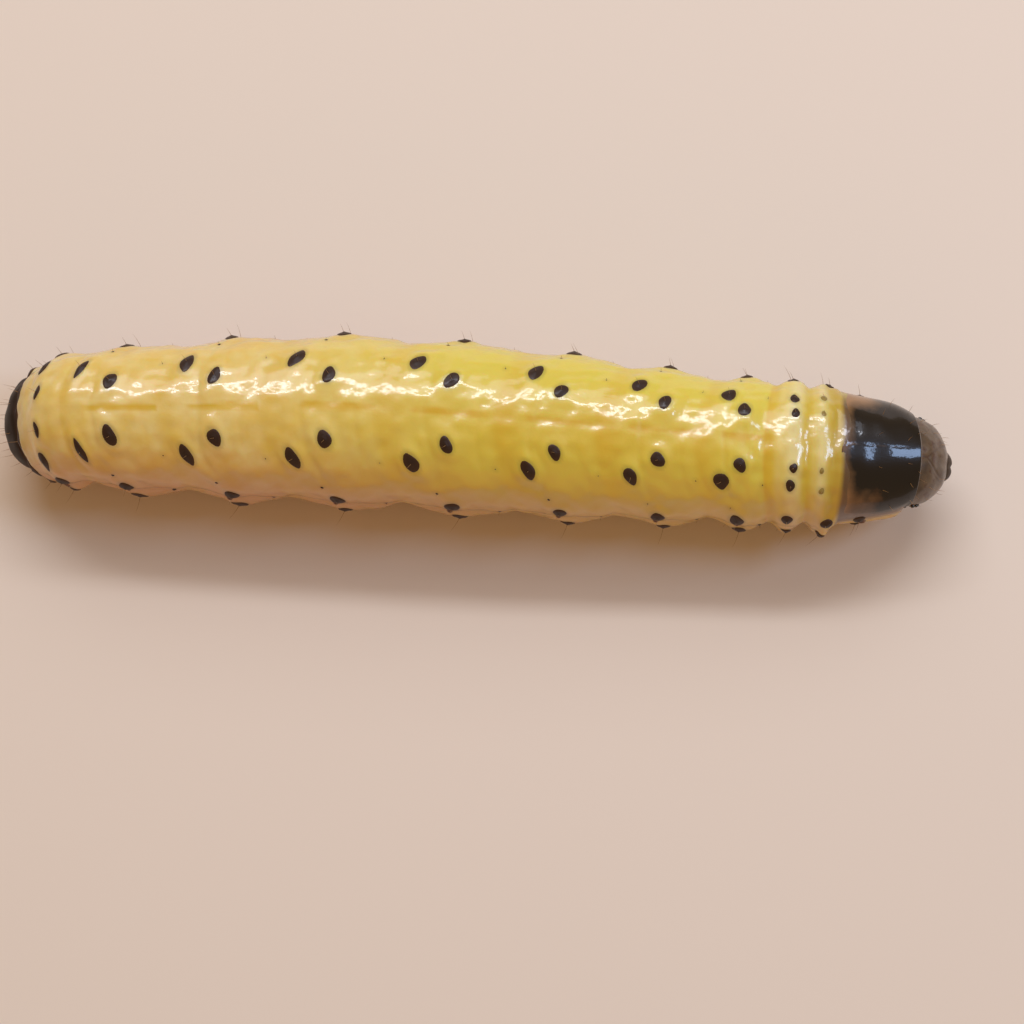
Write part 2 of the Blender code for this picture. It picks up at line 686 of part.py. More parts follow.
for index, segment in enumerate(SEGMENTS[1:], start=1):
    add_dots(index, segment)
for ring in rings.values():
    paint(ring, "skin")
for node in larva.objects:
    node.data.shade_smooth()
    node.data.set_sharp_from_angle(angle=math.radians(SHARP_FROM))
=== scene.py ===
import math
import random
from collections import namedtuple

import bmesh
import bpy
import numpy as np
from mathutils import Matrix, Vector


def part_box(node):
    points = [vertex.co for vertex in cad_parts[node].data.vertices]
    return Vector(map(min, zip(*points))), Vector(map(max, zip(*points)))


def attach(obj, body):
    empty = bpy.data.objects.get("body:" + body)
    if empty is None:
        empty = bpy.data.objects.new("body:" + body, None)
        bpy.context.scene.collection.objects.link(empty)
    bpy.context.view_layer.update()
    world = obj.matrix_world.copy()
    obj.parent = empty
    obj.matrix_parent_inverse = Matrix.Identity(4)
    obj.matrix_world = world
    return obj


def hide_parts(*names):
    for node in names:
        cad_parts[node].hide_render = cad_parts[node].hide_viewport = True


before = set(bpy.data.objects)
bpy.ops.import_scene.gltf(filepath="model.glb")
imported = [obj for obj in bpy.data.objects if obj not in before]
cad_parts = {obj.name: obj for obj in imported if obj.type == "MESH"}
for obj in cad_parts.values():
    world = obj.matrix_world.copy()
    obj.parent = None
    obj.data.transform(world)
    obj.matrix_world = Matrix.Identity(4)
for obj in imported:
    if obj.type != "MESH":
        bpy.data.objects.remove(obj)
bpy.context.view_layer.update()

# Body wall
# One soft skin covers the rings of chest and hind body and the ten prolegs. It is thin, moist yellow cuticle
# over fat, held tight by the body fluid, with a fold between rings. Lengths are in millimetres, s counts the
# ring boundaries from the tail, and an angle is counted from the back to the larva's left, in degrees.
MM = 0.001
LENGTH = 52.0
Ring = namedtuple("Ring", "x z pitch half_width half_height slant")
RINGS = (
    Ring(1.88, 3.25, 27.6, 2.75, 2.43, 0.1),
    Ring(2.52, 3.95, 21.5, 3.25, 3.17, 0.3),
    Ring(4.05, 4.68, 11.3, 3.68, 3.80, 0.8),
    Ring(8.72, 4.85, 0.0, 4.15, 4.00, 1.4),
    Ring(14.22, 4.90, 0.0, 4.55, 4.15, 1.5),
    Ring(20.53, 4.95, 0.0, 4.66, 4.20, 1.5),
    Ring(26.90, 4.90, 0.0, 4.56, 4.15, 1.5),
    Ring(32.43, 4.80, 0.0, 4.32, 4.00, 1.4),
    Ring(37.75, 4.70, 0.0, 4.02, 3.85, 1.1),
    Ring(41.47, 4.70, 0.0, 4.05, 3.70, 0.5),
    Ring(43.67, 4.65, -2.0, 4.02, 3.50, 0.2),
    Ring(45.66, 4.55, -4.0, 3.75, 3.25, 0.0),
    Ring(48.50, 4.30, -6.0, 3.10, 2.78, 0.0),
    Ring(49.85, 4.30, -7.0, 2.60, 2.50, 0.0),
)
TAIL_DEPTH = 1.58
HIND_RINGS = 9
NECK_RING = 11
LAST_RING = 13
BEND_SPAN = (14.0, 50.0)
SIDE_SHIFT = (0.72, -1.48)
TWIST = (-1.5, 4.5)
BELLY_SQUARE = 0.85
BELLY_DEPTH = 0.92
GROOVE_BACK = 0.014
GROOVE_SIDE = 0.085
GROOVE_SOFTNESS = 0.2
GROOVE_ANGLE = 120.0
GROOVE_SPREAD = 45.0
LOBE_ANGLE = 106.0
BEND_LOBE = (10.74, -94.0)


def smoothstep(low, high, value):
    share = np.clip((value - low) / (high - low), 0.0, 1.0)
    return share * share * (3.0 - 2.0 * share)


def hump(value, middle, spread):
    """A bell curve that is 1 at its middle."""
    return np.exp(-(((value - middle) / spread) ** 2))


def eased(values, s):
    """A smooth curve through values that stand at 0, 1, 2 and so on, read at s."""
    padded = np.concatenate(([2 * values[0] - values[1]], values, [2 * values[-1] - values[-2]]))
    i = np.clip(np.floor(s).astype(int), 0, len(values) - 2)
    t = s - i
    before, a, b, after = (padded[i + k] for k in range(4))
    bend = (2 * before - 5 * a + 4 * b - after) * t * t
    turn = (3 * a - before - 3 * b + after) * t * t * t
    return 0.5 * (2 * a + (b - before) * t + bend + turn)


def side_offset(x):
    """How far the body's middle lies to the left, at x from the tail tip."""
    return SIDE_SHIFT[0] + (SIDE_SHIFT[1] - SIDE_SHIFT[0]) * smoothstep(*BEND_SPAN, x)


def axes_at(x, pitch):
    """Forward, left and up of slices of the body."""
    yaw = np.arctan(side_offset(x + 0.5) - side_offset(x - 0.5))
    pitch = np.radians(pitch)
    level = np.zeros_like(yaw)
    forward = np.stack((np.cos(pitch) * np.cos(yaw), np.cos(pitch) * np.sin(yaw), np.sin(pitch)), -1)
    left = np.stack((-np.sin(yaw), np.cos(yaw), level), -1)
    up = np.stack((-np.sin(pitch) * np.cos(yaw), -np.sin(pitch) * np.sin(yaw), np.cos(pitch)), -1)
    return forward, left, up


def twist(s):
    """Roll of the back's midline, in degrees."""
    return TWIST[0] + (TWIST[1] - TWIST[0]) * smoothstep(0.0, LAST_RING, s)


def within_ring(s):
    """Place between the folds behind and in front, from 0 to 1."""
    return np.where(s > NECK_RING, (s - NECK_RING) / 2, s - np.floor(s))


def wall_factor(s, angle):
    """Swell of the wall between the folds, with the side lobes and the one that the bend presses out."""
    turn = (angle + 180.0) % 360.0 - 180.0
    wave = np.maximum(0.0, np.sin(np.pi * within_ring(s) ** 1.2))
    rounded = (wave**2 + GROOVE_SOFTNESS**2) ** 0.25 - GROOVE_SOFTNESS**0.5
    swell = rounded / ((1.0 + GROOVE_SOFTNESS**2) ** 0.25 - GROOVE_SOFTNESS**0.5)
    swell = np.where(s <= 0, smoothstep(0.0, 0.5, -s), swell)
    depth = GROOVE_BACK + (GROOVE_SIDE - GROOVE_BACK) * hump(abs(turn), GROOVE_ANGLE, GROOVE_SPREAD)
    depth *= 1.0 - 0.85 * hump(s, 0.5, 1.0) - 0.6 * hump(s, NECK_RING, 0.5)
    lobe = 0.035 * hump(abs(turn), LOBE_ANGLE, 15.0) * swell
    lobe += 0.1 * hump(s, BEND_LOBE[0], 0.19) * hump(turn, BEND_LOBE[1], 24.0)
    return 1.0 - depth * (1.0 - swell) + lobe


def plain_wall(s, angle):
    """Points of the body wall without its small forms."""
    ring = [eased(np.array(column), np.clip(s, 0.0, LAST_RING)) for column in zip(*RINGS)]
    x, z, pitch, half_width, half_height, slant = ring
    forward, left, up = axes_at(x, pitch)
    close = np.radians(np.clip(-s, 0.0, 1.0) * 90.0)
    across, rise = np.sin(np.radians(angle)), np.cos(np.radians(angle))
    ahead = slant * across * across * np.cos(close) - TAIL_DEPTH * np.sin(close)
    belly = rise < 0
    across = np.where(belly, np.copysign(abs(across) ** BELLY_SQUARE, across), across)
    rise = np.where(belly, -(abs(rise) ** BELLY_SQUARE) * BELLY_DEPTH, rise)
    factor = wall_factor(s, angle) * np.cos(close)
    centre = np.stack((x - LENGTH / 2, side_offset(x), z), -1)
    wide = (half_width * factor * across)[:, None]
    high = (half_height * factor * rise)[:, None]
    return centre + forward * ahead[:, None] + left * wide + up * high


def unit(vectors):
    return vectors / np.maximum(np.linalg.norm(vectors, axis=-1, keepdims=True), 1e-9)


def normal_of(surface, along, angle, step):
    """Outward normals of a surface of two coordinates; step is a small part of the first."""
    ahead = surface(along + step, angle) - surface(along - step, angle)
    aside = surface(along, angle + 0.5) - surface(along, angle - 0.5)
    return unit(np.cross(ahead, aside))


def wall_normal(s, angle):
    return normal_of(plain_wall, np.clip(s, 0.02 - 1.0, LAST_RING - 0.02), angle, 0.01)


def uneven(points, size, seed):
    """Smooth random heights of about -1 to 1 whose swells are about size across."""
    chance = np.random.default_rng(seed)
    total = np.zeros(len(points))
    waves = 14
    for _ in range(waves):
        direction = chance.normal(size=3)
        direction *= 2 * math.pi / (size * chance.uniform(1.6, 3.2)) / np.linalg.norm(direction)
        total += np.sin(points @ direction + chance.uniform(0, 2 * math.pi))
    return total / math.sqrt(waves / 2)


# Places of the pinacula, the hardened dark plates that carry the bristles. The two columns hold the plates of
# ring 3 and of ring 9, and those between change evenly. Slant turns the outer end of a plate forward.
Dot = namedtuple("Dot", "angle place length width slant point bristle")
ABDOMEN_DOTS = (
    (Dot(22.3, 0.52, 0.76, 1.16, 2, 0.12, 0.5), Dot(22.3, 0.59, 0.80, 0.88, 2, 0.1, 0.5)),
    (Dot(36.5, 0.18, 0.78, 1.50, 6, 0.35, 0.55), Dot(36.5, 0.29, 0.88, 1.02, 4, 0.15, 0.55)),
    (Dot(78.0, 0.45, 0.84, 1.00, 0, 0.2, 0.55), Dot(78.0, 0.45, 0.84, 1.00, 0, 0.2, 0.55)),
    (Dot(103.0, 0.52, 0.95, 0.75, 0, 0.1, 1.0), Dot(103.0, 0.52, 0.90, 0.75, 0, 0.1, 1.0)),
    (Dot(131.0, 0.42, 0.75, 0.65, 0, 0.1, 0.6), Dot(131.0, 0.42, 0.75, 0.65, 0, 0.1, 0.6)),
)
NARROW_DOT = Dot(36.5, 0.18, 0.48, 1.60, 8, 0.5, 0.55)
TINY_DOTS = (
    Dot(38.0, 0.95, 0.20, 0.20, 0, 0, 0.15),
    Dot(62.0, 0.37, 0.22, 0.20, 0, 0, 0.15),
    Dot(88.0, 0.86, 0.24, 0.26, 0, 0, 0.2),
)
OTHER_DOTS = {
    1: (
        Dot(26.0, 0.42, 0.42, 1.50, 0, 0.1, 0.6),
        Dot(64.0, 0.45, 0.48, 1.60, 0, 0.1, 0.6),
        Dot(98.0, 0.5, 0.50, 1.10, 0, 0.1, 0.6),
    ),
    2: (
        Dot(17.0, 0.5, 0.40, 0.90, 4, 0.2, 0.55),
        Dot(49.0, 0.36, 0.62, 1.50, 4, 0.2, 0.55),
        Dot(80.0, 0.45, 0.75, 1.20, 0, 0.2, 0.6),
        Dot(105.0, 0.5, 0.70, 0.75, 0, 0.1, 0.9),
        Dot(131.0, 0.5, 0.55, 0.55, 0, 0.1, 0.6),
    ),
    10: (
        Dot(22.0, 0.63, 0.50, 0.58, 0, 0.15, 0.4),
        Dot(36.0, 0.58, 0.54, 0.66, 0, 0.15, 0.4),
        Dot(71.0, 0.5, 0.62, 0.74, 0, 0.15, 0.55),
        Dot(98.0, 0.55, 0.62, 0.62, 0, 0.15, 1.0),
        Dot(130.0, 0.5, 0.50, 0.50, 0, 0.1, 0.6),
    ),
    11: (
        Dot(23.5, 0.4, 0.32, 0.40, 0, 0.1, 0.35),
        Dot(40.5, 0.42, 0.38, 0.46, 0, 0.1, 0.35),
        Dot(76.0, 0.7, 0.58, 0.74, 0, 0.15, 0.55),
        Dot(99.0, 0.6, 0.62, 0.66, 0, 0.15, 1.0),
        Dot(130.0, 0.5, 0.50, 0.50, 0, 0.1, 0.6),
    ),
    12: (
        Dot(86.0, 0.42, 0.75, 0.75, 0, 0.1, 0.7),
        Dot(112.0, 0.42, 0.65, 0.60, 0, 0.1, 0.8),
    ),
}
PLATE_SIZE_VARIES = 0.07
PLATE_PLACE_VARIES = 0.012
Plate = namedtuple("Plate", "s angle length width slant point bristle side faint")


def plates_of(index):
    """The plates of one ring on both sides, with the small differences between real ones."""
    chance, slants = random.Random(index), random.Random(50 + index)
    share = (index - 3) / 6
    dots = OTHER_DOTS.get(index)
    tiny = () if dots else TINY_DOTS
    dots = dots or [Dot(*(a + (b - a) * share for a, b in zip(rear, front))) for rear, front in ABDOMEN_DOTS]
    if index == 3:
        dots[1] = NARROW_DOT
    made = []
    for side, dot in [(side, dot) for row in (dots, tiny) for side in (1, -1) for dot in row]:
        size = 1.0 + chance.uniform(-PLATE_SIZE_VARIES, PLATE_SIZE_VARIES)
        s = index - 1 + dot.place + chance.uniform(-PLATE_PLACE_VARIES, PLATE_PLACE_VARIES)
        angle = side * dot.angle + float(twist(np.array(s)))
        faint = 0.75 if index == NECK_RING and dot.angle < 45 else 0.0
        slant = side * dot.slant + slants.uniform(-4, 4)
        length, width = dot.length * size, dot.width * size
        made.append(Plate(s, angle, length, width, slant, dot.point, dot.bristle, side, faint))
    return made


plates = [plate for index in range(1, 13) for plate in plates_of(index)]


def wall_scale(s, angle):
    """Millimetres of wall in one ring of s, and in one degree of angle."""
    along = np.linalg.norm(plain_wall(s + 0.02, angle) - plain_wall(s - 0.02, angle), axis=1) / 0.04
    around = np.linalg.norm(plain_wall(s, angle + 1.0) - plain_wall(s, angle - 1.0), axis=1) / 2.0
    return along, around


plate_places = (np.array([plate.s for plate in plates]), np.array([plate.angle for plate in plates]))
plate_scales = list(zip(*wall_scale(*plate_places)))


def near_plates(s, angle, reach):
    """How near each point is to a plate, 1 at a plate's rim or inside it and 0 at reach beyond it."""
    nearest = np.zeros(len(s))
    for plate, (along, around) in zip(plates, plate_scales):
        turn = (angle - plate.angle + 180.0) % 360.0 - 180.0
        lengthwise, sideways = (s - plate.s) * along, turn * around
        slanted = math.radians(plate.slant)
        u = lengthwise * math.cos(slanted) - sideways * math.sin(slanted)
        v = lengthwise * math.sin(slanted) + sideways * math.cos(slanted)
        out = np.sqrt((u / plate.length) ** 2 + (v / plate.width) ** 2) * 2 - 1
        gap = out * (plate.length + plate.width) / 4
        size = min(1.0, plate.width / 0.5)
        nearest = np.maximum(nearest, size * (1.0 - smoothstep(0.0, reach, gap)))
    return nearest


# Creases of the chest: ring place, depth, width along the ring, and how far each wanders
CHEST_CREASES = (
    (9.02, 0.11, 0.14, 0.06),
    (9.36, 0.03, 0.09, 0.12),
    (9.9, 0.03, 0.09, 0.05),
    (10.02, 0.08, 0.10, 0.05),
    (10.22, 0.03, 0.07, 0.10),
    (10.70, 0.09, 0.14, 0.08),
    (8.72, 0.03, 0.08, 0.06),
    (11.22, 0.04, 0.10, 0.05),
)
MOUND_HEIGHT = 0.09
MOUND_REACH = 0.75


def relief(s, angle, points):
    """Height of the skin's small forms over the plain wall, in millimetres."""
    turn = (angle + 180.0) % 360.0 - 180.0
    t = within_ring(s)
    swell = MOUND_HEIGHT * near_plates(s, angle, MOUND_REACH)
    wander = uneven(points * np.array([0.4, 1.0, 1.0]), 1.6, 5)
    rear_half = (s > 2.0) & (s < HIND_RINGS)
    back = hump(turn, 0.0, 75.0)
    crease = np.where(rear_half, 0.045 * hump(t, 0.38 + 0.03 * wander, 0.035) * back, 0.0)
    crease += np.where(rear_half, 0.02 * hump(t, 0.82 + 0.03 * wander, 0.03) * back, 0.0)
    for place, depth, width, stray in CHEST_CREASES:
        crease += depth * hump(s, place + stray * wander, width)
    side_rows = smoothstep(0.6, 2.0, s) * (1 - smoothstep(11.3, 12.2, s))
    crease += 0.10 * side_rows * hump(abs(turn), 89.0 + 2.0 * wander, 4.0)
    crease += 0.14 * side_rows * hump(abs(turn), 121.0 + 2.0 * wander, 5.0)
    crease += 0.03 * hump(turn, twist(s), 3.5) * smoothstep(1.0, 3.0, s) * (1 - smoothstep(10.5, 11, s))
    patches = 0.022 * uneven(points, 1.2, 7) + 0.017 * uneven(points, 0.42, 9)
    ends = smoothstep(-1.0, -0.6, s) * (1 - smoothstep(12.2, 12.6, s))
    ends *= 1.0 - smoothstep(10.88, 11.0, s) * (1 - smoothstep(78.0, 90.0, abs(turn)))
    return (swell - crease + patches) * ends


HEAD_AT = (49.35, 4.25)
HEAD_TILT = 22.0
HEAD_TURN = math.radians(-6.0)
NECK_HALF = (2.15, 1.6)
TUCK_SPAN = (12.35, 13.0)
head_slice = axes_at(np.array([HEAD_AT[0]]), np.array([-HEAD_TILT]))
head_forward, head_left, head_up = (axis[0] for axis in head_slice)
head_forward, head_left = (
    head_forward * math.cos(HEAD_TURN) + head_left * math.sin(HEAD_TURN),
    head_left * math.cos(HEAD_TURN) - head_forward * math.sin(HEAD_TURN),
)
head_centre = np.array([HEAD_AT[0] - LENGTH / 2, float(side_offset(np.array(HEAD_AT[0]))), HEAD_AT[1]])


def neck_rim(angle, share):
    """Where the skin runs in behind the head, drawn in to the middle by share."""
    wide = (NECK_HALF[0] * np.sin(np.radians(angle)) * share)[:, None]
    high = (NECK_HALF[1] * np.cos(np.radians(angle)) * share)[:, None]
    return head_centre - head_forward * 0.3 + head_left * wide + head_up * high


def skin(s, angle, lift=0.0):
    """Points of the finished skin, or lift above it."""
    s, angle = np.broadcast_arrays(np.asarray(s, float), np.asarray(angle, float))
    points = plain_wall(s, angle)
    height = relief(s, angle, points) + lift
    points = points + wall_normal(s, angle) * height[:, None]
    tuck = smoothstep(*TUCK_SPAN, s)[:, None]
    share = np.cos(np.radians(np.clip(s - LAST_RING, 0.0, 1.0) * 90.0))
    return points + (neck_rim(angle, share) - points) * tuck


# Prolegs: stubs with a narrow ankle and a flat sole, drawn out of the belly. The outline is radius and height.
PROLEG_NODES = [f"proleg_{ring}_{side}" for ring in (3, 4, 5, 6) for side in ("left", "right")]
PROLEG_NODES += ["anal_proleg_left", "anal_proleg_right"]
PROLEG_ROOT = 1.65
PROLEG_OUTLINE = (
    (0.0, 0.0),
    (0.62, 0.0),
    (0.86, 0.1),
    (0.94, 0.2),
    (0.88, 0.36),
    (0.8, 0.5),
    (0.98, 0.72),
    (1.65, 1.0),
)
BELLY_TOP = 3.2
BELLY_ANGLE = 95


def proleg_centres():
    centres = []
    for node in PROLEG_NODES:
        low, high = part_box(node)
        centres.append(((low + high) / 2 / MM).xy)
    return centres


def draw_out_prolegs(points, below):
    """Moves the belly around each proleg's axis down to the floor and in to the stub's outline."""
    radii = np.array([radius for radius, height in PROLEG_OUTLINE])
    heights = np.array([height for radius, height in PROLEG_OUTLINE])
    steps = np.concatenate(([0.0], np.cumsum(np.hypot(np.diff(radii), np.diff(heights) * 1.6))))
    steps /= steps[-1]
    for centre in proleg_centres():
        away = points[:, :2] - np.array(centre)
        distance = np.hypot(*away.T)
        chosen = (distance < PROLEG_ROOT) & below
        share = distance[chosen] / PROLEG_ROOT
        radius = np.interp(share, steps, radii)
        height = np.interp(share, steps, heights)
        outward = away[chosen] / np.maximum(distance[chosen], 1e-6)[:, None]
        points[chosen, :2] = np.array(centre) + outward * radius[:, None]
        points[chosen, 2] *= height
    return points


AROUND = 160
ALONG = 480
LEMON_SPAN = (-12.0 * MM, 0.0)


def lengthwise_rows():
    """Places of the skin's rows, about evenly apart along the back and with one on each fold."""
    fine = np.linspace(-1.0, LAST_RING, 1401)
    back = plain_wall(fine, np.zeros(len(fine)))
    travelled = np.concatenate(([0.0], np.cumsum(np.linalg.norm(np.diff(back, axis=0), axis=1))))
    cap_rows = 14
    rows = np.interp(np.linspace(0.0, travelled[-1], ALONG - cap_rows + 1), travelled, fine)
    for fold in range(NECK_RING + 1):
        rows[np.argmin(abs(rows - fold))] = fold
    return np.concatenate((rows, LAST_RING + np.arange(1, cap_rows + 1) / cap_rows))


def place_verts(bm, points):
    """Puts the vertices at points given in millimetres."""
    for vert, point in zip(bm.verts, points * MM):
        vert.co = point


def piece_from(bm, name, material, slot, *replaced):
    """Turns a bmesh into a finished piece that rides on the larva's one body, with its faces outwards."""
    mesh = bpy.data.meshes.new(name)
    bm.normal_update()
    bmesh.ops.recalc_face_normals(bm, faces=bm.faces)
    bm.to_mesh(mesh)
    bm.free()
    mesh.shade_smooth()
    mesh.materials.append(material)
    piece = bpy.data.objects.new(name, mesh)
    bpy.context.scene.collection.objects.link(piece)
    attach(piece, "root")
    if replaced:
        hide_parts(*replaced)
    return piece


def add_values(piece, name, values):
    """Keeps a number for each point of a piece, for its material to read."""
    attribute = piece.data.attributes.new(name, "FLOAT", "POINT")
    attribute.data.foreach_set("value", values.astype(np.float32))


def linear(colour):
    """A colour written as sRGB hex, in the linear numbers that a shader takes."""
    shares = [int(colour[i : i + 2], 16) / 255 for i in (1, 3, 5)]
    return (*(c / 12.92 if c <= 0.04045 else ((c + 0.055) / 1.055) ** 2.4 for c in shares), 1.0)


def new_material(name):
    made = bpy.data.materials.new(name)
    made.use_nodes = True
    return made, made.node_tree, made.node_tree.nodes["Principled BSDF"]


def fill_inputs(tree, node, inputs):
    """Gives each input of a node its number, its colour as hex, or the output that feeds it."""
    for name, source in inputs.items():
        if isinstance(source, bpy.types.NodeSocket):
            tree.links.new(source, node.inputs[name])
        else:
            node.inputs[name].default_value = linear(source) if isinstance(source, str) else source


def add_node(tree, kind, inputs=None, **settings):
    made = tree.nodes.new(kind)
    for name, value in settings.items():
        setattr(made, name, value)
    fill_inputs(tree, made, inputs or {})
    return made


def tinted(tree, under, over, value, low=0.0, high=1.0):
    """Lays a colour over another, none at low and all at high; value is an output or an attribute's name."""
    if isinstance(value, str):
        value = add_node(tree, "ShaderNodeAttribute", attribute_name=value).outputs["Fac"]
    spread = {"Value": value, "From Min": low, "From Max": high}
    share = add_node(tree, "ShaderNodeMapRange", spread).outputs[0]
    return add_node(tree, "ShaderNodeMix", {0: share, 6: under, 7: over}, data_type="RGBA").outputs[2]


def dented(tree, place, size, depth, strength, detail=2.0):
    """Normals of a surface with shallow random dents; size and depth in millimetres."""
    swells = {"Vector": place, "Scale": 1 / (size * MM), "Detail": detail}
    height = add_node(tree, "ShaderNodeTexNoise", swells).outputs["Fac"]
    dents = {"Height": height, "Strength": strength, "Distance": depth * MM}
    return add_node(tree, "ShaderNodeBump", dents).outputs["Normal"]


def cuticle():
    """Larval cuticle: moist and tight, so light sinks in and comes back yellow, and the gloss is sharp."""
    made, tree, shader = new_material("moist larval cuticle")
    place = add_node(tree, "ShaderNodeTexCoord").outputs["Object"]
    patches = {"Vector": place, "Scale": 1 / (1.3 * MM), "Detail": 3.0}
    mottle = add_node(tree, "ShaderNodeTexNoise", patches).outputs["Fac"]
    fat = tinted(tree, "#dfbd5a", "#e4cb7d", mottle, 0.35, 0.7)
    along = add_node(tree, "ShaderNodeSeparateXYZ", {"Vector": place}).outputs["X"]
    fat = tinted(tree, fat, "#dcc848", along, *LEMON_SPAN)
    # The amber layer is the flanks' own colour together with painted shade on the right flank.
    layers = {"pale": "#e6d594", "amber": "#b46a24", "warm": "#d6ac18", "brown": "#52301a"}
    for value, colour in layers.items():
        fat = tinted(tree, fat, colour, value)
    gloss = add_node(tree, "ShaderNodeMapRange", {"Value": mottle, "To Min": 0.36, "To Max": 0.5})
    moist = {
        "Base Color": fat,
        "Normal": dented(tree, place, 0.22, 0.02, 0.35),
        "Coat Normal": dented(tree, place, 0.5, 0.05, 0.7),
        "Roughness": gloss.outputs[0],
        "Subsurface Weight": 0.5,
        "Subsurface Radius": (1.0, 0.5, 0.16),
        "Subsurface Scale": 0.9 * MM,
        "IOR": 1.55,
        "Coat Weight": 1.0,
        "Coat Roughness": 0.1,
        "Coat IOR": 1.5,
    }
    fill_inputs(tree, shader, moist)
    return made


bm = bmesh.new()
bmesh.ops.create_uvsphere(bm, u_segments=AROUND, v_segments=ALONG, radius=1)
heights = np.array([vert.co.z for vert in bm.verts])
turns = np.array([math.degrees(math.atan2(vert.co.y, vert.co.x)) for vert in bm.verts])
row = np.rint(np.arccos(np.clip(-heights, -1.0, 1.0)) / math.pi * ALONG).astype(int)
skin_s, skin_angle = lengthwise_rows()[row], turns
skin_points = skin(skin_s, skin_angle)
below = (skin_points[:, 2] < BELLY_TOP) & (abs(skin_angle) > BELLY_ANGLE) & (skin_s < HIND_RINGS)
place_verts(bm, draw_out_prolegs(skin_points, below))
flesh = [f"abdomen_{ring}" for ring in range(1, 11)] + ["metathorax", "mesothorax", "prothorax"]
flesh += PROLEG_NODES
body_skin = piece_from(bm, "body_skin", cuticle(), "skin", *flesh)

# Markings: the heart shows as an orange streak down the back, the folds are clearer and so more yellow, the
# flanks are amber, ridges of the chest are pale, and a little brown spreads round the plates and shields.
# The amber reaches nearer the back on the right flank as painted shade for the side away from the lamps.
ring_share = within_ring(skin_s)
off_midline = (skin_angle - twist(skin_s) + 180.0) % 360.0 - 180.0
in_hind = (skin_s > 2.0) & (skin_s < HIND_RINGS)
on_chest = (skin_s >= HIND_RINGS) & (skin_s < 12.0)
ragged = uneven(skin_points, 0.9, 61)
streak = 1.0 - smoothstep(0.4, 3.4, abs(off_midline) + 0.6 * ragged)
streak_end = ring_share + 0.03 * ragged
streak *= in_hind * smoothstep(0.26, 0.36, streak_end) * (1.0 - smoothstep(0.95, 1.0, streak_end))
past_fold = (ring_share + 0.4) % 1.0 - 0.4
fold_band = smoothstep(-0.08, 0.04, past_fold) * (1.0 - smoothstep(0.04, 0.3, past_fold)) * in_hind * 0.35
# The flanks' amber starts 50 degrees from the back on the left but 22 on the right: painted shade on the
# right.
amber_start_with_shade = np.where(off_midline > 0, 50.0, 22.0)
flank = smoothstep(0.0, 1.0, (abs(off_midline) - amber_start_with_shade) / 63.0)
flank *= 0.68 - 0.22 * smoothstep(4.5, 8.0, skin_s)
yellow_middle = 0.5 * hump(skin_s, 7.0, 2.2) * hump(off_midline, -4.0, 32.0)
chest_groove = np.zeros(len(skin_s))
for place, depth, width, _ in CHEST_CREASES:
    chest_groove += hump(skin_s, place, width * 1.3) * depth / 0.11
warm = np.clip(0.9 * streak + fold_band + yellow_middle + on_chest * 0.7 * chest_groove, 0.0, 0.95)
pale = on_chest * np.clip(0.75 - chest_groove, 0.0, 1.0) * (1.0 - smoothstep(10.6, 10.74, skin_s))
warm = np.maximum(warm, 0.7 * smoothstep(10.62, 10.76, skin_s) * (1.0 - smoothstep(11.0, 11.3, skin_s)))
halo = 0.25 * near_plates(skin_s, skin_angle, 0.2)
tail_shade = 0.3 * (1.0 - smoothstep(0.2, 1.4, skin_s))
tail_shade += 0.6 * (1.0 - smoothstep(0.02, 0.34, skin_s + 0.12 * ragged))
tail_shade *= hump(off_midline, 0.0, 110.0)
neck_shade = 0.6 * smoothstep(12.0, 13.0, skin_s)
chest_shade = 0.07 * smoothstep(9.2, 9.9, skin_s) + 0.22 * smoothstep(10.35, 10.85, skin_s)
chest_shade *= 1.0 - smoothstep(70.0, 100.0, abs(off_midline))
# Brown skin along the neck shield's rear edge, darker on the right and lighter on the left beyond 35 degrees
# from the back: painted shade and painted light.
shield_edge_brown_and_shade = 0.95 - 0.5 * smoothstep(35.0, 60.0, abs(off_midline)) * (off_midline > 0)
shield_edge_brown_and_shade *= smoothstep(10.84, 11.02, skin_s) * (1.0 - smoothstep(80.0, 95.0, abs(off_midline)))
add_values(body_skin, "warm", warm)
# The amber attribute holds the flanks' colour and the painted shade of the right flank.
add_values(body_skin, "amber", flank)
add_values(body_skin, "pale", pale)
# The brown attribute also carries the painted light and shade at the neck shield's rear edge.
brown = np.maximum.reduce([halo, tail_shade, neck_shade, chest_shade, shield_edge_brown_and_shade])
add_values(body_skin, "brown", np.clip(brown, 0.0, 1.0))

# Pinacula
# Each is a hard, black-brown disc of thick cuticle that carries one bristle on a low peak. It grows in the
# skin, so its rim runs into it. The upper ones of a ring are almond-shaped, their outer end turned forward.
PLATE_LIFT = 0.075
PEAK_LIFT = 0.06
RIM_SUNK = 0.03
ROOT_DEPTH = -0.08


def balls(count, around, along):
    """Equal balls in one mesh, with each vertex's turn about its ball's axis and its share of the way up."""
    bm = bmesh.new()
    bmesh.ops.create_uvsphere(bm, u_segments=around, v_segments=along, radius=1)
    one = bpy.data.meshes.new("ball")
    bm.to_mesh(one)
    bm.clear()
    for _ in range(count):
        bm.from_mesh(one)
    x, y, z = np.array([vert.co for vert in bm.verts]).reshape(count, -1, 3).transpose(2, 0, 1)
    bpy.data.meshes.remove(one)
    return bm, np.arctan2(y, x), np.arccos(np.clip(-z, -1.0, 1.0)) / math.pi


def column(values):
    return np.array(values, float)[:, None]


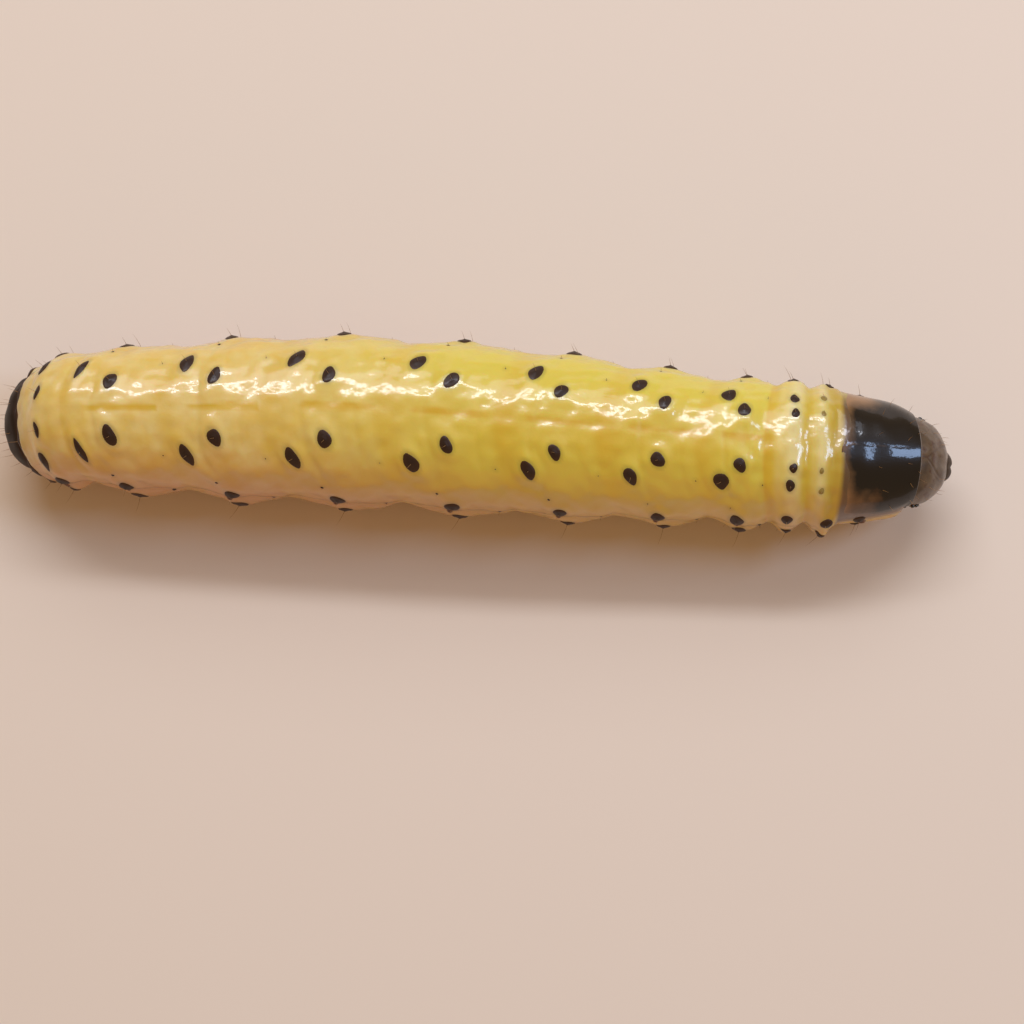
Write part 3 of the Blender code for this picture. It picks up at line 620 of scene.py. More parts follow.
def hard_plate():
    """Thick dark cuticle: grainy and satin, nearly black, and thinner and browner at the rim."""
    made, tree, shader = new_material("hard black-brown cuticle")
    place = add_node(tree, "ShaderNodeTexCoord").outputs["Object"]
    dark = tinted(tree, "#2e1a0d", "#43270f", "rim", 0.55, 1.1)
    grainy = {
        "Base Color": tinted(tree, dark, "#a58c43", "faint"),
        "Normal": dented(tree, place, 0.14, 0.03, 0.6),
        "Roughness": 0.5,
        "IOR": 1.35,
        "Coat Weight": 0.18,
        "Coat Roughness": 0.12,
    }
    fill_inputs(tree, shader, grainy)
    return made


bm, turn, share = balls(len(plates), 22, 12)
wobble = np.random.default_rng(21)
phase_2, phase_3 = wobble.uniform(0, math.tau, (2, len(plates), 1))
out = np.sin(math.pi * share)
uneven_rim = 1.0 + 0.07 * np.sin(2 * turn + phase_2) + 0.06 * np.sin(3 * turn + phase_3)
every = Plate(*(column(values) for values in zip(*plates)))
length, width = every.length, every.width
across = out * np.sin(turn) * uneven_rim
sharpness = every.point * np.where(across * every.side > 0, 1.2, 0.6)
ahead = out * np.cos(turn) * uneven_rim * (1.0 - sharpness * abs(across) ** 1.5)
ahead, across = ahead * length / 2, across * width / 2
slant = np.radians(every.slant)
lengthwise = ahead * np.cos(slant) + across * np.sin(slant)
sideways = across * np.cos(slant) - ahead * np.sin(slant)
along_scale, around_scale = (column(scale) for scale in zip(*plate_scales))
plate_s = every.s + lengthwise / along_scale
plate_angle = every.angle + sideways / around_scale
small = np.minimum(1.0, width / 0.6)
steep = 1.0 + 0.7 * (abs(every.angle) > 60)
peak = PLATE_LIFT * steep * np.sqrt(np.maximum(0.0, 1.0 - out**3)) + PEAK_LIFT * hump(out, 0.0, 0.25)
lift = np.where(share >= 0.49, small * peak, ROOT_DEPTH) - RIM_SUNK
place_verts(bm, skin(plate_s.ravel(), plate_angle.ravel(), lift.ravel()))
pinacula = piece_from(bm, "pinacula", hard_plate(), "skin")
add_values(pinacula, "rim", out.ravel())
add_values(pinacula, "faint", (every.faint + 0 * out).ravel())

# Spiracles
# The breathing holes are upright ovals low on the flank: a raised brown rim of hard cuticle round a slit
# painted near-black as the shade in its opening, one on each side of the first chest ring and of hind-body
# rings one to eight.
SPIRACLE_SIZE = (0.34, 0.50)
END_HOLES = ((1.4, 91.5, 1.35), (11.5, 99.0, 1.4))
holes = [(index - 0.58, side * 91.5, 1.0) for index in range(3, 10) for side in (1, -1)]
holes += [(s, side * angle, size) for s, angle, size in END_HOLES for side in (1, -1)]
hole_s, hole_angle, hole_size = (column(values) for values in zip(*holes))
bm, turn, share = balls(len(holes), 24, 14)
out = np.sin(math.pi * share)
along_scale, around_scale = (column(scale) for scale in wall_scale(hole_s[:, 0], hole_angle[:, 0]))
rim_s = hole_s + out * np.cos(turn) * SPIRACLE_SIZE[0] / 2 * hole_size / along_scale
rim_angle = hole_angle + twist(hole_s) + out * np.sin(turn) * SPIRACLE_SIZE[1] / 2 * hole_size / around_scale
lift = np.where(share >= 0.49, 0.01 + 0.07 * hump(out, 0.72, 0.2), ROOT_DEPTH)
place_verts(bm, skin(rim_s.ravel(), rim_angle.ravel(), lift.ravel()))


def spiracle_rim():
    """Brown horn-like cuticle, satin, with near-black painted shade where the slit opens."""
    made, tree, shader = new_material("brown horny rim")
    # The near-black of the middle is painted shade for the open slit.
    brown = tinted(tree, "#0d0805", "#6a3f1a", "rim", 0.3, 0.65)
    fill_inputs(tree, shader, {"Base Color": brown, "Roughness": 0.4})
    return made


spiracles = piece_from(bm, "spiracles", spiracle_rim(), "skin")
add_values(spiracles, "rim", out.ravel())

# Neck shield
# One broad polished plate of black-brown horn covers the back of the first chest ring. It is thin enough at
# its rear corners to glow brown, its rear edge sinks into the skin, and its front edge stands free. The brown
# of the right rear corner is weaker than the left's: painted shade for the side away from the lamps.
SHIELD_SPAN = (11.0, 12.98)
SHIELD_ANGLE = 84.0
SHIELD_ROUNDNESS = 0.6
SHIELD_LIFT = 0.1
SHIELD_THICKNESS = 0.14
REAR_SUNK = 0.018


def shield_grid(span, half_angle, lengthways, sideways):
    """A grid bent over the back: the mesh, its vertices' places from -1 to 1, and their s and angle."""
    bm = bmesh.new()
    bmesh.ops.create_grid(bm, x_segments=lengthways, y_segments=sideways, size=1)
    flat = np.array([vert.co for vert in bm.verts])
    u = flat[:, 0] * np.sqrt(1.0 - SHIELD_ROUNDNESS * flat[:, 1] ** 2 / 2)
    v = flat[:, 1] * np.sqrt(1.0 - SHIELD_ROUNDNESS * flat[:, 0] ** 2 / 2)
    s = (span[0] + span[1]) / 2 + u * (span[1] - span[0]) / 2
    return bm, flat[:, 0], flat[:, 1], s, v * half_angle + twist(s)


def finish_shield(bm, name, points, material, thin):
    """Thickens a shield inwards, and keeps how thin the horn is at each point for the material."""
    place_verts(bm, points)
    bm.normal_update()
    bmesh.ops.solidify(bm, geom=bm.faces, thickness=SHIELD_THICKNESS * MM)
    shield = piece_from(bm, name, material, "shield", name)
    add_values(shield, "thin", np.resize(thin, len(shield.data.vertices)))


def polished_horn(name, core, thin, coat, roughness, ior):
    """Horn polished by the bore's walls: a mirror-like coat over near-black, brown where it is thin."""
    made, tree, shader = new_material(name)
    place = add_node(tree, "ShaderNodeTexCoord").outputs["Object"]
    edge = add_node(tree, "ShaderNodeAttribute", attribute_name="thin").outputs["Fac"]
    patches = {"Vector": place, "Scale": 1 / (0.7 * MM), "Detail": 3.0}
    cloud = add_node(tree, "ShaderNodeTexNoise", patches).outputs["Fac"]
    clouded_edge = {0: cloud, 1: 0.5, 2: edge}
    shifted = add_node(tree, "ShaderNodeMath", clouded_edge, operation="MULTIPLY_ADD").outputs[0]
    polished = {
        "Base Color": tinted(tree, core, thin, shifted, 0.35, 1.25),
        "Normal": dented(tree, place, 0.09, 0.01, 0.5),
        "Coat Normal": dented(tree, place, 0.3, 0.02, 0.4, 3.0),
        "Roughness": roughness,
        "IOR": ior,
        "Coat Weight": coat,
        "Coat Roughness": 0.05,
    }
    fill_inputs(tree, shader, polished)
    return made


bm, u, v, s, angle = shield_grid(SHIELD_SPAN, SHIELD_ANGLE, 80, 110)
s = s + 0.04 * uneven(plain_wall(s, angle), 0.9, 39) * (1.0 - smoothstep(-1.0, -0.4, u))
side_edge = 1.0 - smoothstep(0.8, 1.0, abs(v)) * (1.0 - smoothstep(0.3, 0.9, u))
free_edge = np.minimum(smoothstep(-1.3, 0.1, u), side_edge)
base = plain_wall(s, angle)
midline = hump(v, 0.0, 0.012) * (1.0 - smoothstep(0.2, 0.5, u))
hollow = 0.02 * hump(u, -0.5, 0.12) * (1 - hump(v, 0.0, 0.15))
hollow += 0.04 * hump(abs(v), 0.45, 0.12) * hump(u, -0.1, 0.3)
height = -REAR_SUNK + (SHIELD_LIFT + REAR_SUNK) * free_edge - 0.006 * midline - hollow * free_edge
height += 0.012 * uneven(base, 0.9, 31) * smoothstep(-1.0, -0.6, u) * side_edge
height -= 0.08 * smoothstep(-0.5, 1.2, u) + 0.09 * smoothstep(0.93, 1.0, u)
points = base + wall_normal(s, angle) * height[:, None]
# Thin brown rear corners; the right one is held to 0.4 of the left as painted shade.
thin = smoothstep(0.35, 0.75, abs(v)) * (1 - smoothstep(-0.7, -0.1, u)) * np.where(v > 0, 1.0, 0.4)
thin += 0.42 * (1 - smoothstep(-1.0, -0.76, u))
thin += 0.15 * midline + 0.8 * smoothstep(0.965, 1.0, u)
horn = polished_horn("polished neck horn", "#120b08", "#986f46", 0.7, 0.28, 1.3)
finish_shield(bm, "prothoracic_shield", points, horn, thin)

# Tail shield
# A smaller rough plate of the same horn caps the last ring and reaches over its fold. It slopes steeply down
# to the back, is wrinkled and uneven at its edge, and carries the longest bristles of the shields.
ANAL_SPAN = (-0.86, 0.3)
ANAL_ANGLE = 82.0
TAIL_SUNK = 0.06
bm, u, v, s, angle = shield_grid(ANAL_SPAN, ANAL_ANGLE, 50, 70)
base = plain_wall(s, angle)
torn_edge = smoothstep(0.3, 1.0, u + 0.12 * uneven(base, 0.9, 35))
free_edge = 1.0 - np.maximum(torn_edge, smoothstep(0.7, 1.0, abs(v)))
height = -TAIL_SUNK + (SHIELD_LIFT + TAIL_SUNK) * free_edge + 0.025 * uneven(base, 0.5, 33)
points = base + wall_normal(s, angle) * height[:, None]
thin = 0.7 * smoothstep(0.2, 0.8, u) + 0.4 * smoothstep(0.6, 1.0, abs(v))
tail_horn = polished_horn("rough tail horn", "#23140a", "#553217", 0.12, 0.55, 1.35)
finish_shield(bm, "anal_shield", points, tail_horn, thin)

# Head capsule
# A hard brown box of two cheeks joined by a seam down the middle, which forks round the triangular face
# plate. It is half drawn into the first ring, slopes down to the front, and light shines a little into it.
HEAD_FRONT = 2.6
HEAD_BACK = 1.6
HEAD_HALF_WIDTH = 2.48
HEAD_HALF_HEIGHT = 1.85
HEAD_BLUNTNESS = 2.0
HEAD_GROOVE = 0.05
FORK_AT = 0.22
FORK_END = 0.93
LIP_AT = 0.95
FACE_HALF_ANGLE = 46.0


def head_ball(polar, angle):
    """The head without its seams; polar runs from 0 at the neck to 180 in front."""
    share = -np.cos(np.radians(polar))
    blunt = np.where(share > 0, HEAD_BLUNTNESS, 2.0)
    reach = np.where(share > 0, HEAD_FRONT, HEAD_BACK)
    swell = np.maximum(0.0, 1.0 - abs(share) ** blunt) ** (1.0 / blunt)
    dent = 1.0 - HEAD_GROOVE * hump(angle, 0.0, 9.0)
    wide = HEAD_HALF_WIDTH * dent * swell * np.sin(np.radians(angle))
    high = HEAD_HALF_HEIGHT * dent * swell * np.cos(np.radians(angle))
    ahead = reach * share
    return head_centre + head_forward * ahead[:, None] + head_left * wide[:, None] + head_up * high[:, None]


def head_normal(polar, angle):
    return normal_of(head_ball, np.clip(polar, 1.0, 179.0), angle, 0.5)


def head_seams(polar, angle):
    """1 along the middle seam and the two arms of its fork."""
    share = -np.cos(np.radians(polar))
    forked = np.clip((share - FORK_AT) / (FORK_END - FORK_AT), 0.0, 1.0)
    arms = hump(abs(angle), FACE_HALF_ANGLE * forked, 2.0 + 1.5 * forked)
    outer = 0.6 * hump(abs(angle), FACE_HALF_ANGLE * forked + 7.0, 2.0) * smoothstep(0.0, 0.4, forked)
    lip = hump(share, LIP_AT, 0.012) * (abs(angle) < FACE_HALF_ANGLE)
    return np.clip((arms + outer) * (share < LIP_AT) + lip, 0.0, 1.0)


def head_surface(polar, angle, lift=0.0):
    """Points of the head with seams, hollow face and the mouth's opening."""
    base = head_ball(polar, angle)
    share = -np.cos(np.radians(polar))
    forked = np.clip((share - FORK_AT) / (FORK_END - FORK_AT), 0.0, 1.0)
    face = smoothstep(0.1, 0.5, forked) * hump(angle, 0.0, FACE_HALF_ANGLE * 0.7)
    height = 0.012 * uneven(base, 0.7, 41) + 0.005 * uneven(base, 0.25, 43) + lift
    height = height - 0.035 * head_seams(polar, angle) - 0.07 * face
    height += 0.07 * hump(share, 0.45, 0.3) * hump(abs(angle), 80.0, 25.0)
    local = base - head_centre
    opening = hump(local @ head_left, 0.0, 0.75) * hump(local @ head_up, -0.45, 0.5)
    opening *= smoothstep(1.0, 1.9, local @ head_forward)
    return base + head_normal(polar, angle) * height[:, None] - head_forward * (0.4 * opening)[:, None]


def head_horn():
    """Brown see-through horn: a smooth coat over brown that lets light in, darker towards the jaws."""
    made, tree, shader = new_material("brown head horn")
    place = add_node(tree, "ShaderNodeTexCoord").outputs["Object"]
    patches = {"Vector": place, "Scale": 1 / (0.9 * MM), "Detail": 4.0}
    cloud = add_node(tree, "ShaderNodeTexNoise", patches).outputs["Fac"]
    specks = {"Vector": place, "Scale": 1 / (0.45 * MM), "Detail": 3.0}
    spots = add_node(tree, "ShaderNodeTexNoise", specks).outputs["Fac"]
    brown = tinted(tree, "#47372a", "#6c5740", cloud, 0.35, 0.65)
    brown = tinted(tree, brown, "#482a1a", spots, 0.52, 0.68)
    brown = tinted(tree, brown, "#4a3222", "seam")
    glassy = {
        "Base Color": tinted(tree, brown, "#25150d", "jaws"),
        "Normal": dented(tree, place, 0.12, 0.012, 0.4),
        "Roughness": 0.32,
        "Subsurface Weight": 0.15,
        "Subsurface Radius": (1.0, 0.5, 0.25),
        "Subsurface Scale": 0.4 * MM,
        "Coat Weight": 0.6,
        "Coat Roughness": 0.07,
    }
    fill_inputs(tree, shader, glassy)
    return made


bm, turn, share = balls(1, 160, 110)
polar, angle = share[0] * 180.0, np.degrees(turn[0])
place_verts(bm, head_surface(polar, angle))
head = piece_from(bm, "head_capsule", head_horn(), "head", "head_capsule")
add_values(head, "seam", head_seams(polar, angle))
near_jaws = smoothstep(0.6, 0.97, -np.cos(np.radians(polar))) * smoothstep(35.0, 75.0, abs(angle))
add_values(head, "jaws", near_jaws)

# Eye lenses
# Each cheek carries six simple eyes: small clear domes over black, five in an arc and one behind. They are
# polished and look like wet black beads.
EYE_FROM = (0.3, 98.0)
LENS_RADIUS = 0.13
LENS_RING = 0.35
LENS_TURNS = (-100, -60, -20, 20, 60, 150)


def head_frame(share, angle):
    """Point, forward tangent, sideways tangent and outward normal at a place on the head."""
    polar, turned = np.array([math.degrees(math.acos(-share))]), np.array([angle])
    point = head_surface(polar, turned)[0]
    normal = head_normal(polar, turned)[0]
    along = unit(head_ball(polar + 0.5, turned)[0] - head_ball(polar - 0.5, turned)[0])
    return point, along, np.cross(normal, along), normal


def lens_horn():
    """Clear lens over black: darkest and sharpest gloss on the animal."""
    made, tree, shader = new_material("clear lens over black")
    wet = {"Base Color": "#0b0806", "Roughness": 0.06, "Coat Weight": 1.0, "Coat Roughness": 0.03}
    fill_inputs(tree, shader, wet)
    return made


eye_horn = lens_horn()
for side, word in ((1, "left"), (-1, "right")):
    point, along, across, normal = head_frame(EYE_FROM[0], side * EYE_FROM[1])
    bm, turn, share = balls(len(LENS_TURNS), 24, 16)
    way = np.radians(column(LENS_TURNS)) * side
    middle = point + (np.cos(way) * along + np.sin(way) * across) * LENS_RING
    up = -np.cos(math.pi * share)[..., None] * normal * 0.8
    level = np.cos(turn)[..., None] * along + np.sin(turn)[..., None] * across
    lens_points = middle[:, None] + (up + level * np.sin(math.pi * share)[..., None]) * LENS_RADIUS
    place_verts(bm, lens_points.reshape(-1, 3))
    piece_from(bm, "stemmata_" + word, eye_horn, "eye", "stemmata_" + word)

# Mouthparts
# The upper lip is a notched brown flap. Under it two black jaws with five teeth meet like chisels, as they
# cut wood. The lower lip holds the feelers of the mouth and, between them, the pointed silk spinner.
LABRUM_SIZE = (0.95, 1.8, 0.5)
LABRUM_AT = (2.3, 0.0, 0.45)
MANDIBLE_SIZE = (1.05, 0.8, 0.98)
MANDIBLE_AT = (2.36, 0.5, -0.42)
TEETH = 5
LABIUM_SIZE = (0.9, 0.9, 0.5)
LABIUM_AT = (1.8, 0.0, -1.33)


def squared_ball(turn, share, size, square):
    """A ball grown towards a box, as forward, left and up distances."""
    out = np.sin(math.pi * share)
    ball = (out * np.cos(turn), out * np.sin(turn), -np.cos(math.pi * share))
    return [np.copysign(abs(way) ** square, way) * length / 2 for way, length in zip(ball, size)]


def on_head(ahead, leftward, upward):
    """Points given by their distances forward, left and up from the head's middle."""
    shifts = (np.asarray(shift, float)[..., None] for shift in (ahead, leftward, upward))
    return head_centre + sum(shift * axis for shift, axis in zip(shifts, (head_forward, head_left, head_up)))


def mouth_horn(name, colour, roughness):
    """Horn of the mouthparts: brown and satin for the lips and feelers, black and polished for the jaws."""
    made, tree, shader = new_material(name)
    satin = {"Base Color": colour, "Roughness": roughness, "Coat Weight": 0.4, "Coat Roughness": 0.12}
    fill_inputs(tree, shader, satin)
    return made


lip_horn = mouth_horn("brown lip horn", "#33200f", 0.4)
jaw_horn = mouth_horn("black jaw horn", "#120a07", 0.22)

bm, turn, share = balls(1, 48, 32)
ahead, leftward, upward = squared_ball(turn[0], share[0], LABRUM_SIZE, 0.6)
front = smoothstep(-0.1, 0.45, ahead)
ahead -= 0.09 * front * hump(leftward, 0.0, 0.16)
leftward *= 1.0 - 0.25 * front
upward -= 0.12 * front + 0.1 * (leftward / 0.75) ** 2
place_verts(bm, on_head(ahead + LABRUM_AT[0], leftward, upward + LABRUM_AT[2]))
piece_from(bm, "labrum", lip_horn, "head", "labrum")

for side, word in ((1, "left"), (-1, "right")):
    bm, turn, share = balls(1, 48, 40)
    ahead, outward, upward = squared_ball(turn[0], share[0], MANDIBLE_SIZE, 0.7)
    front = smoothstep(-0.2, 0.45, ahead)
    teeth = 0.5 + 0.5 * np.cos(upward / MANDIBLE_SIZE[2] * TEETH * math.tau)
    ahead -= 0.12 * front * (1.0 - teeth) + 0.15 * front * (upward / 0.45) ** 2
    outward = outward * (1.0 - 0.6 * front) - 0.33 * front
    outward = (outward + MANDIBLE_AT[1]) * side
    place_verts(bm, on_head(ahead + MANDIBLE_AT[0], outward, upward + MANDIBLE_AT[2]))
    piece_from(bm, "mandible_" + word, jaw_horn, "mouth", "mandible_" + word)

# Each part of the lower mouth: forward, left and up of its middle, then its length, width and height
LOWER_MOUTH = (
    (*LABIUM_AT, *LABIUM_SIZE),
    (2.25, 0.0, -1.31, 0.36, 0.34, 0.26),
    (2.45, 0.0, -1.33, 0.36, 0.13, 0.11),
    (2.32, 0.16, -1.33, 0.22, 0.1, 0.1),
    (2.32, -0.16, -1.33, 0.22, 0.1, 0.1),
    (1.65, 0.62, -1.25, 1.0, 0.5, 0.5),
    (1.65, -0.62, -1.25, 1.0, 0.5, 0.5),
    (2.1, 0.58, -1.16, 0.36, 0.36, 0.34),
    (2.1, -0.58, -1.16, 0.36, 0.36, 0.34),
    (2.28, 0.56, -1.15, 0.26, 0.25, 0.24),
    (2.28, -0.56, -1.15, 0.26, 0.25, 0.24),
    (2.42, 0.54, -1.15, 0.22, 0.15, 0.15),
    (2.42, -0.54, -1.15, 0.22, 0.15, 0.15),
)
bm, turn, share = balls(len(LOWER_MOUTH), 24, 16)
middle, size = np.split(np.array(LOWER_MOUTH), 2, axis=1)
shifts = squared_ball(turn, share, size.T[..., None], 0.8)
lower = on_head(*(shift + middle[:, axis, None] for axis, shift in enumerate(shifts)))
place_verts(bm, lower.reshape(-1, 3))
piece_from(bm, "labium", lip_horn, "head", "labium")

# Antennae
# Short feelers of three joints that slide into one another, on a soft base beside each jaw. The outline gives
# height and radius from the base to the tip.
ANTENNA_FROM = (0.84, 118.0)
ANTENNA_WAY = (0.85, -0.05, -0.5)
ANTENNA_OUTLINE = (
    (-0.25, 0.0),
    (-0.2, 0.23),
    (0.06, 0.22),
    (0.1, 0.16),
    (0.24, 0.15),
    (0.27, 0.11),
    (0.4, 0.1),
    (0.42, 0.06),
    (0.5, 0.05),
    (0.52, 0.0),
)


def spun(root, way, outline, turn, share):
    """Points of a round form: its outline of height and radius turned about the line from root along way."""
    side = unit(np.cross(way, (0.0, 0.0, 1.0)))
    other = np.cross(way, side)
    steps = np.linspace(0.0, 1.0, len(outline))
    height = np.interp(share, steps, [height for height, radius in outline])[:, None]
    radius = np.interp(share, steps, [radius for height, radius in outline])[:, None]
    return root + way * height + (side * np.cos(turn)[:, None] + other * np.sin(turn)[:, None]) * radius


antenna_ways = {}
for side, word in ((1, "left"), (-1, "right")):
    root = head_frame(ANTENNA_FROM[0], side * ANTENNA_FROM[1])[0]
    way = unit(head_forward * ANTENNA_WAY[0] + head_left * side * ANTENNA_WAY[1] + head_up * ANTENNA_WAY[2])
    antenna_ways[side] = (root + way * 0.5, way)
    bm, turn, share = balls(1, 28, 36)
    place_verts(bm, spun(root, way, ANTENNA_OUTLINE, turn[0], share[0]))
    piece_from(bm, "antenna_" + word, lip_horn, "head", "antenna_" + word)

# Legs of the chest
# Each jointed leg is a horny tube: a broad hip, thigh, shin and foot, with soft pale joints and one claw. The
# course runs forward, outward and up from the hip, and below the hip it counts in shares of the hip's height.
LEG_RINGS = {"prothorax": 11.5, "mesothorax": 10.5, "metathorax": 9.5}
LEG_ANGLE = 150.0
LEG_COURSE = (
    (0.0, -0.35, 0.55),
    (0.0, 0.1, 0.0),
    (0.12, 0.42, -0.32),
    (0.3, 0.52, -0.58),
    (0.55, 0.38, -0.80),
    (0.70, 0.2, -0.93),
)
LEG_RADII = (0.62, 0.66, 0.50, 0.42, 0.31, 0.2)
LEG_JOINTS = (1.6, 2.6, 3.55, 4.4)
CLAW_OUTLINE = ((-0.1, 0.0), (0.0, 0.13), (0.12, 0.11), (0.25, 0.06), (0.4, 0.0))


def leg_horn():
    """Amber horn, satin, a little see-through, dark at the claw and pale in the soft joints."""
    made, tree, shader = new_material("amber leg horn")
    place = add_node(tree, "ShaderNodeTexCoord").outputs["Object"]
    patches = {"Vector": place, "Scale": 1 / (0.5 * MM), "Detail": 3.0}
    amber = tinted(tree, "#7e5424", "#a8763a", add_node(tree, "ShaderNodeTexNoise", patches).outputs["Fac"])
    amber = tinted(tree, amber, "#dcb964", "joint")
    satin = {
        "Base Color": tinted(tree, amber, "#1d0f08", "claw"),
        "Roughness": 0.36,
        "Subsurface Weight": 0.15,
        "Subsurface Radius": (1.0, 0.5, 0.2),
        "Subsurface Scale": 0.3 * MM,
        "Coat Weight": 0.3,
    }
    fill_inputs(tree, shader, satin)
    return made


def ring_axes(s):
    x, z, pitch = (eased(np.array(values), np.array([s])) for values in list(zip(*RINGS))[:3])
    return [axis[0] for axis in axes_at(x, pitch)]


def leg_line(hip, forward, outward, course, walk):
    """Points of a leg's middle line, and the way it runs at each."""
    def place_at(walked):
        ahead, aside, rise = (eased(values, walked)[:, None] for values in course.T)
        return hip + forward * ahead + outward * aside + np.array((0.0, 0.0, 1.0)) * rise

    last = len(LEG_COURSE) - 1.0
    way = place_at(np.minimum(walk + 0.05, last)) - place_at(np.maximum(walk - 0.05, 0.0))
    return place_at(walk), unit(way)


def add_claw(bm, tip, way):
    """Adds the claw's points to a leg's mesh, and gives where they go."""
    claw_bm, turn, share = balls(1, 12, 12)
    claw = bpy.data.meshes.new("claw")
    claw_bm.to_mesh(claw)
    claw_bm.free()
    bm.from_mesh(claw)
    bpy.data.meshes.remove(claw)
    return spun(tip, way, CLAW_OUTLINE, turn[0], share[0])


amber_horn = leg_horn()
for segment, s in LEG_RINGS.items():
    for side, word in ((1, "left"), (-1, "right")):
        hip = plain_wall(np.array([s]), np.array([side * LEG_ANGLE]))[0]
        forward, left, _ = ring_axes(s)
        course = np.array([(a, o, rise * (hip[2] if rise < 0 else 1.0)) for a, o, rise in LEG_COURSE])
        bm, turn, share = balls(1, 24, 70)
        turn, share = turn[0], share[0]
        walk = share * (len(LEG_COURSE) - 1)
        spine, way = leg_line(hip, forward, left * side, course, walk)
        joint = sum(hump(walk, place, 0.13) for place in LEG_JOINTS)
        rounded_end = np.minimum(1.0, 6 * np.sin(math.pi * share))
        radius = eased(np.array(LEG_RADII), walk) * (1.0 - 0.2 * joint) * rounded_end
        beside = unit(np.cross(way, forward))
        other = np.cross(way, beside)
        ring = beside * np.cos(turn)[:, None] + other * np.sin(turn)[:, None]
        limb = spine + ring * radius[:, None]
        limb[:, 2] = np.maximum(limb[:, 2], 0.02)
        foot = np.argmax(share)
        claw = add_claw(bm, spine[foot], way[foot])
        claw[:, 2] = np.maximum(claw[:, 2], 0.0)
        place_verts(bm, np.concatenate((limb, claw)))
        leg = piece_from(bm, f"{segment}_leg_{word}", amber_horn, "leg", f"{segment}_leg_{word}")
        soft = np.maximum(joint, 1.0 - smoothstep(0.6, 1.2, walk))
        add_values(leg, "joint", np.concatenate((soft, np.zeros(len(claw)))))
        add_values(leg, "claw", np.concatenate((smoothstep(4.7, 5.0, walk), np.ones(len(claw)))))

# Bristles
# One stiff, tapered, amber bristle stands on each pinaculum, leaning back, and others on the shields, head
# and feelers.
Bristle = namedtuple("Bristle", "root normal length lean s angle")
BRISTLE_THICKNESS = 0.013
BAKE_PATCH = 0.003
lean_chance = random.Random(5)


def bristle_on(s, angle, lift, length, lean=(0.0, 0.0, 0.0)):
    at, turned = np.array([s]), np.array([angle])
    normal = wall_normal(at, turned)[0]
    root = skin(at, turned, lift)[0] if s < 11.9 else plain_wall(at, turned)[0] + normal * lift
    return Bristle(root, normal, length, np.array(lean), s, angle)


bristles = []
for plate in plates:
    backward = np.array((-0.35, 0.0, 0.1))
    bristles.append(bristle_on(plate.s, plate.angle, 0.05, plate.bristle, backward))
SHIELD_BRISTLES = ((11.6, 15), (11.7, 38), (12.3, 12), (12.45, 34), (12.55, 58), (11.9, 60), (12.8, 22))
for s, angle in SHIELD_BRISTLES:
    for side in (1, -1):
        bristles.append(bristle_on(s, side * angle, 0.08, 0.45, (0.3, 0.0, 0.0)))
TAIL_BRISTLES = ((-0.2, 18), (-0.3, 48), (-0.55, 12), (-0.6, 38), (-0.65, 62), (-0.82, 20), (-0.85, 55))
TAIL_BRISTLES += ((-0.5, 88),)
for s, angle in TAIL_BRISTLES:
    for side in (1, -1):
        bristles.append(bristle_on(s, side * angle, 0.08, 0.6, (-0.6, 0.0, 0.2)))
HEAD_BRISTLES = ((0.1, 30), (0.1, 55), (0.4, 42), (0.45, 66), (0.62, 30), (0.7, 55), (0.8, 84), (0.5, 110))
HEAD_BRISTLES += ((0.2, 120),)
for share, angle in HEAD_BRISTLES:
    for side in (1, -1):
        point, along, _, normal = head_frame(share, side * angle)
        bristles.append(Bristle(point, normal, 0.4, along * 0.8, 13.5 + share, side * angle))
for side, (tip, way) in antenna_ways.items():
    bristles.append(Bristle(tip - way * 0.15, way, 0.5, np.zeros(3), 14.5, side * 60.0))


def rods(roots, ways, bends, lengths, thickness, around, along):
    """Tapered rods in one mesh: each runs from its root along its way, and is drawn aside by its bend."""
    bm, turn, share = balls(len(roots), around, along)
    side = unit(np.cross(ways, (0.3, 0.5, 0.81)))
    other = np.cross(ways, side)
    radius = (thickness * (1.0 - share) ** 0.6 * np.minimum(1.0, share * 20))[..., None]
    spine = roots[:, None] + ways[:, None] * (share * column(lengths))[..., None]
    spine = spine + bends[:, None] * (share**2)[..., None]
    ring = side[:, None] * np.cos(turn)[..., None] + other[:, None] * np.sin(turn)[..., None]
    place_verts(bm, (spine + ring * radius).reshape(-1, 3))
    return bm, share.shape[1]


def bristle_horn():
    """Amber horn drawn out thin: light passes through it, so it looks golden against the skin."""
    made, tree, shader = new_material("amber bristle")
    fill_inputs(tree, shader, {"Base Color": "#9a713f", "Roughness": 0.3})
    return made


def unwrapped(piece, places, verts_each):
    """Gives each bristle a small patch of its own where it stands on an unwrap of the skin."""
    layer = piece.data.uv_layers.new(name="OFBake")
    owner = np.empty(len(piece.data.loops), dtype=int)
    piece.data.loops.foreach_get("vertex_index", owner)
    middle = np.array(places)[owner // verts_each]
    swing = (owner % verts_each) / verts_each * math.tau
    spread = np.stack((np.cos(swing), np.sin(swing)), -1) * BAKE_PATCH / 2
    layer.data.foreach_set("uv", (middle + spread).astype(np.float32).ravel())


roots = np.array([bristle.root for bristle in bristles])
strays = np.array([[lean_chance.uniform(-0.25, 0.25) for _ in range(3)] for _ in bristles])
ways = unit(np.array([bristle.normal + bristle.lean * 0.5 for bristle in bristles]) + strays)
lengths = [bristle.length for bristle in bristles]
bends = np.array([bristle.lean * bristle.length * 0.5 for bristle in bristles])
bm, verts_each = rods(roots, ways, bends, lengths, BRISTLE_THICKNESS, 6, 12)
setae = piece_from(bm, "bristles", bristle_horn(), "skin")
unwrapped(setae, [((b.s + 1.5) / 17.5, (b.angle + 180.0) / 360.0) for b in bristles], verts_each)

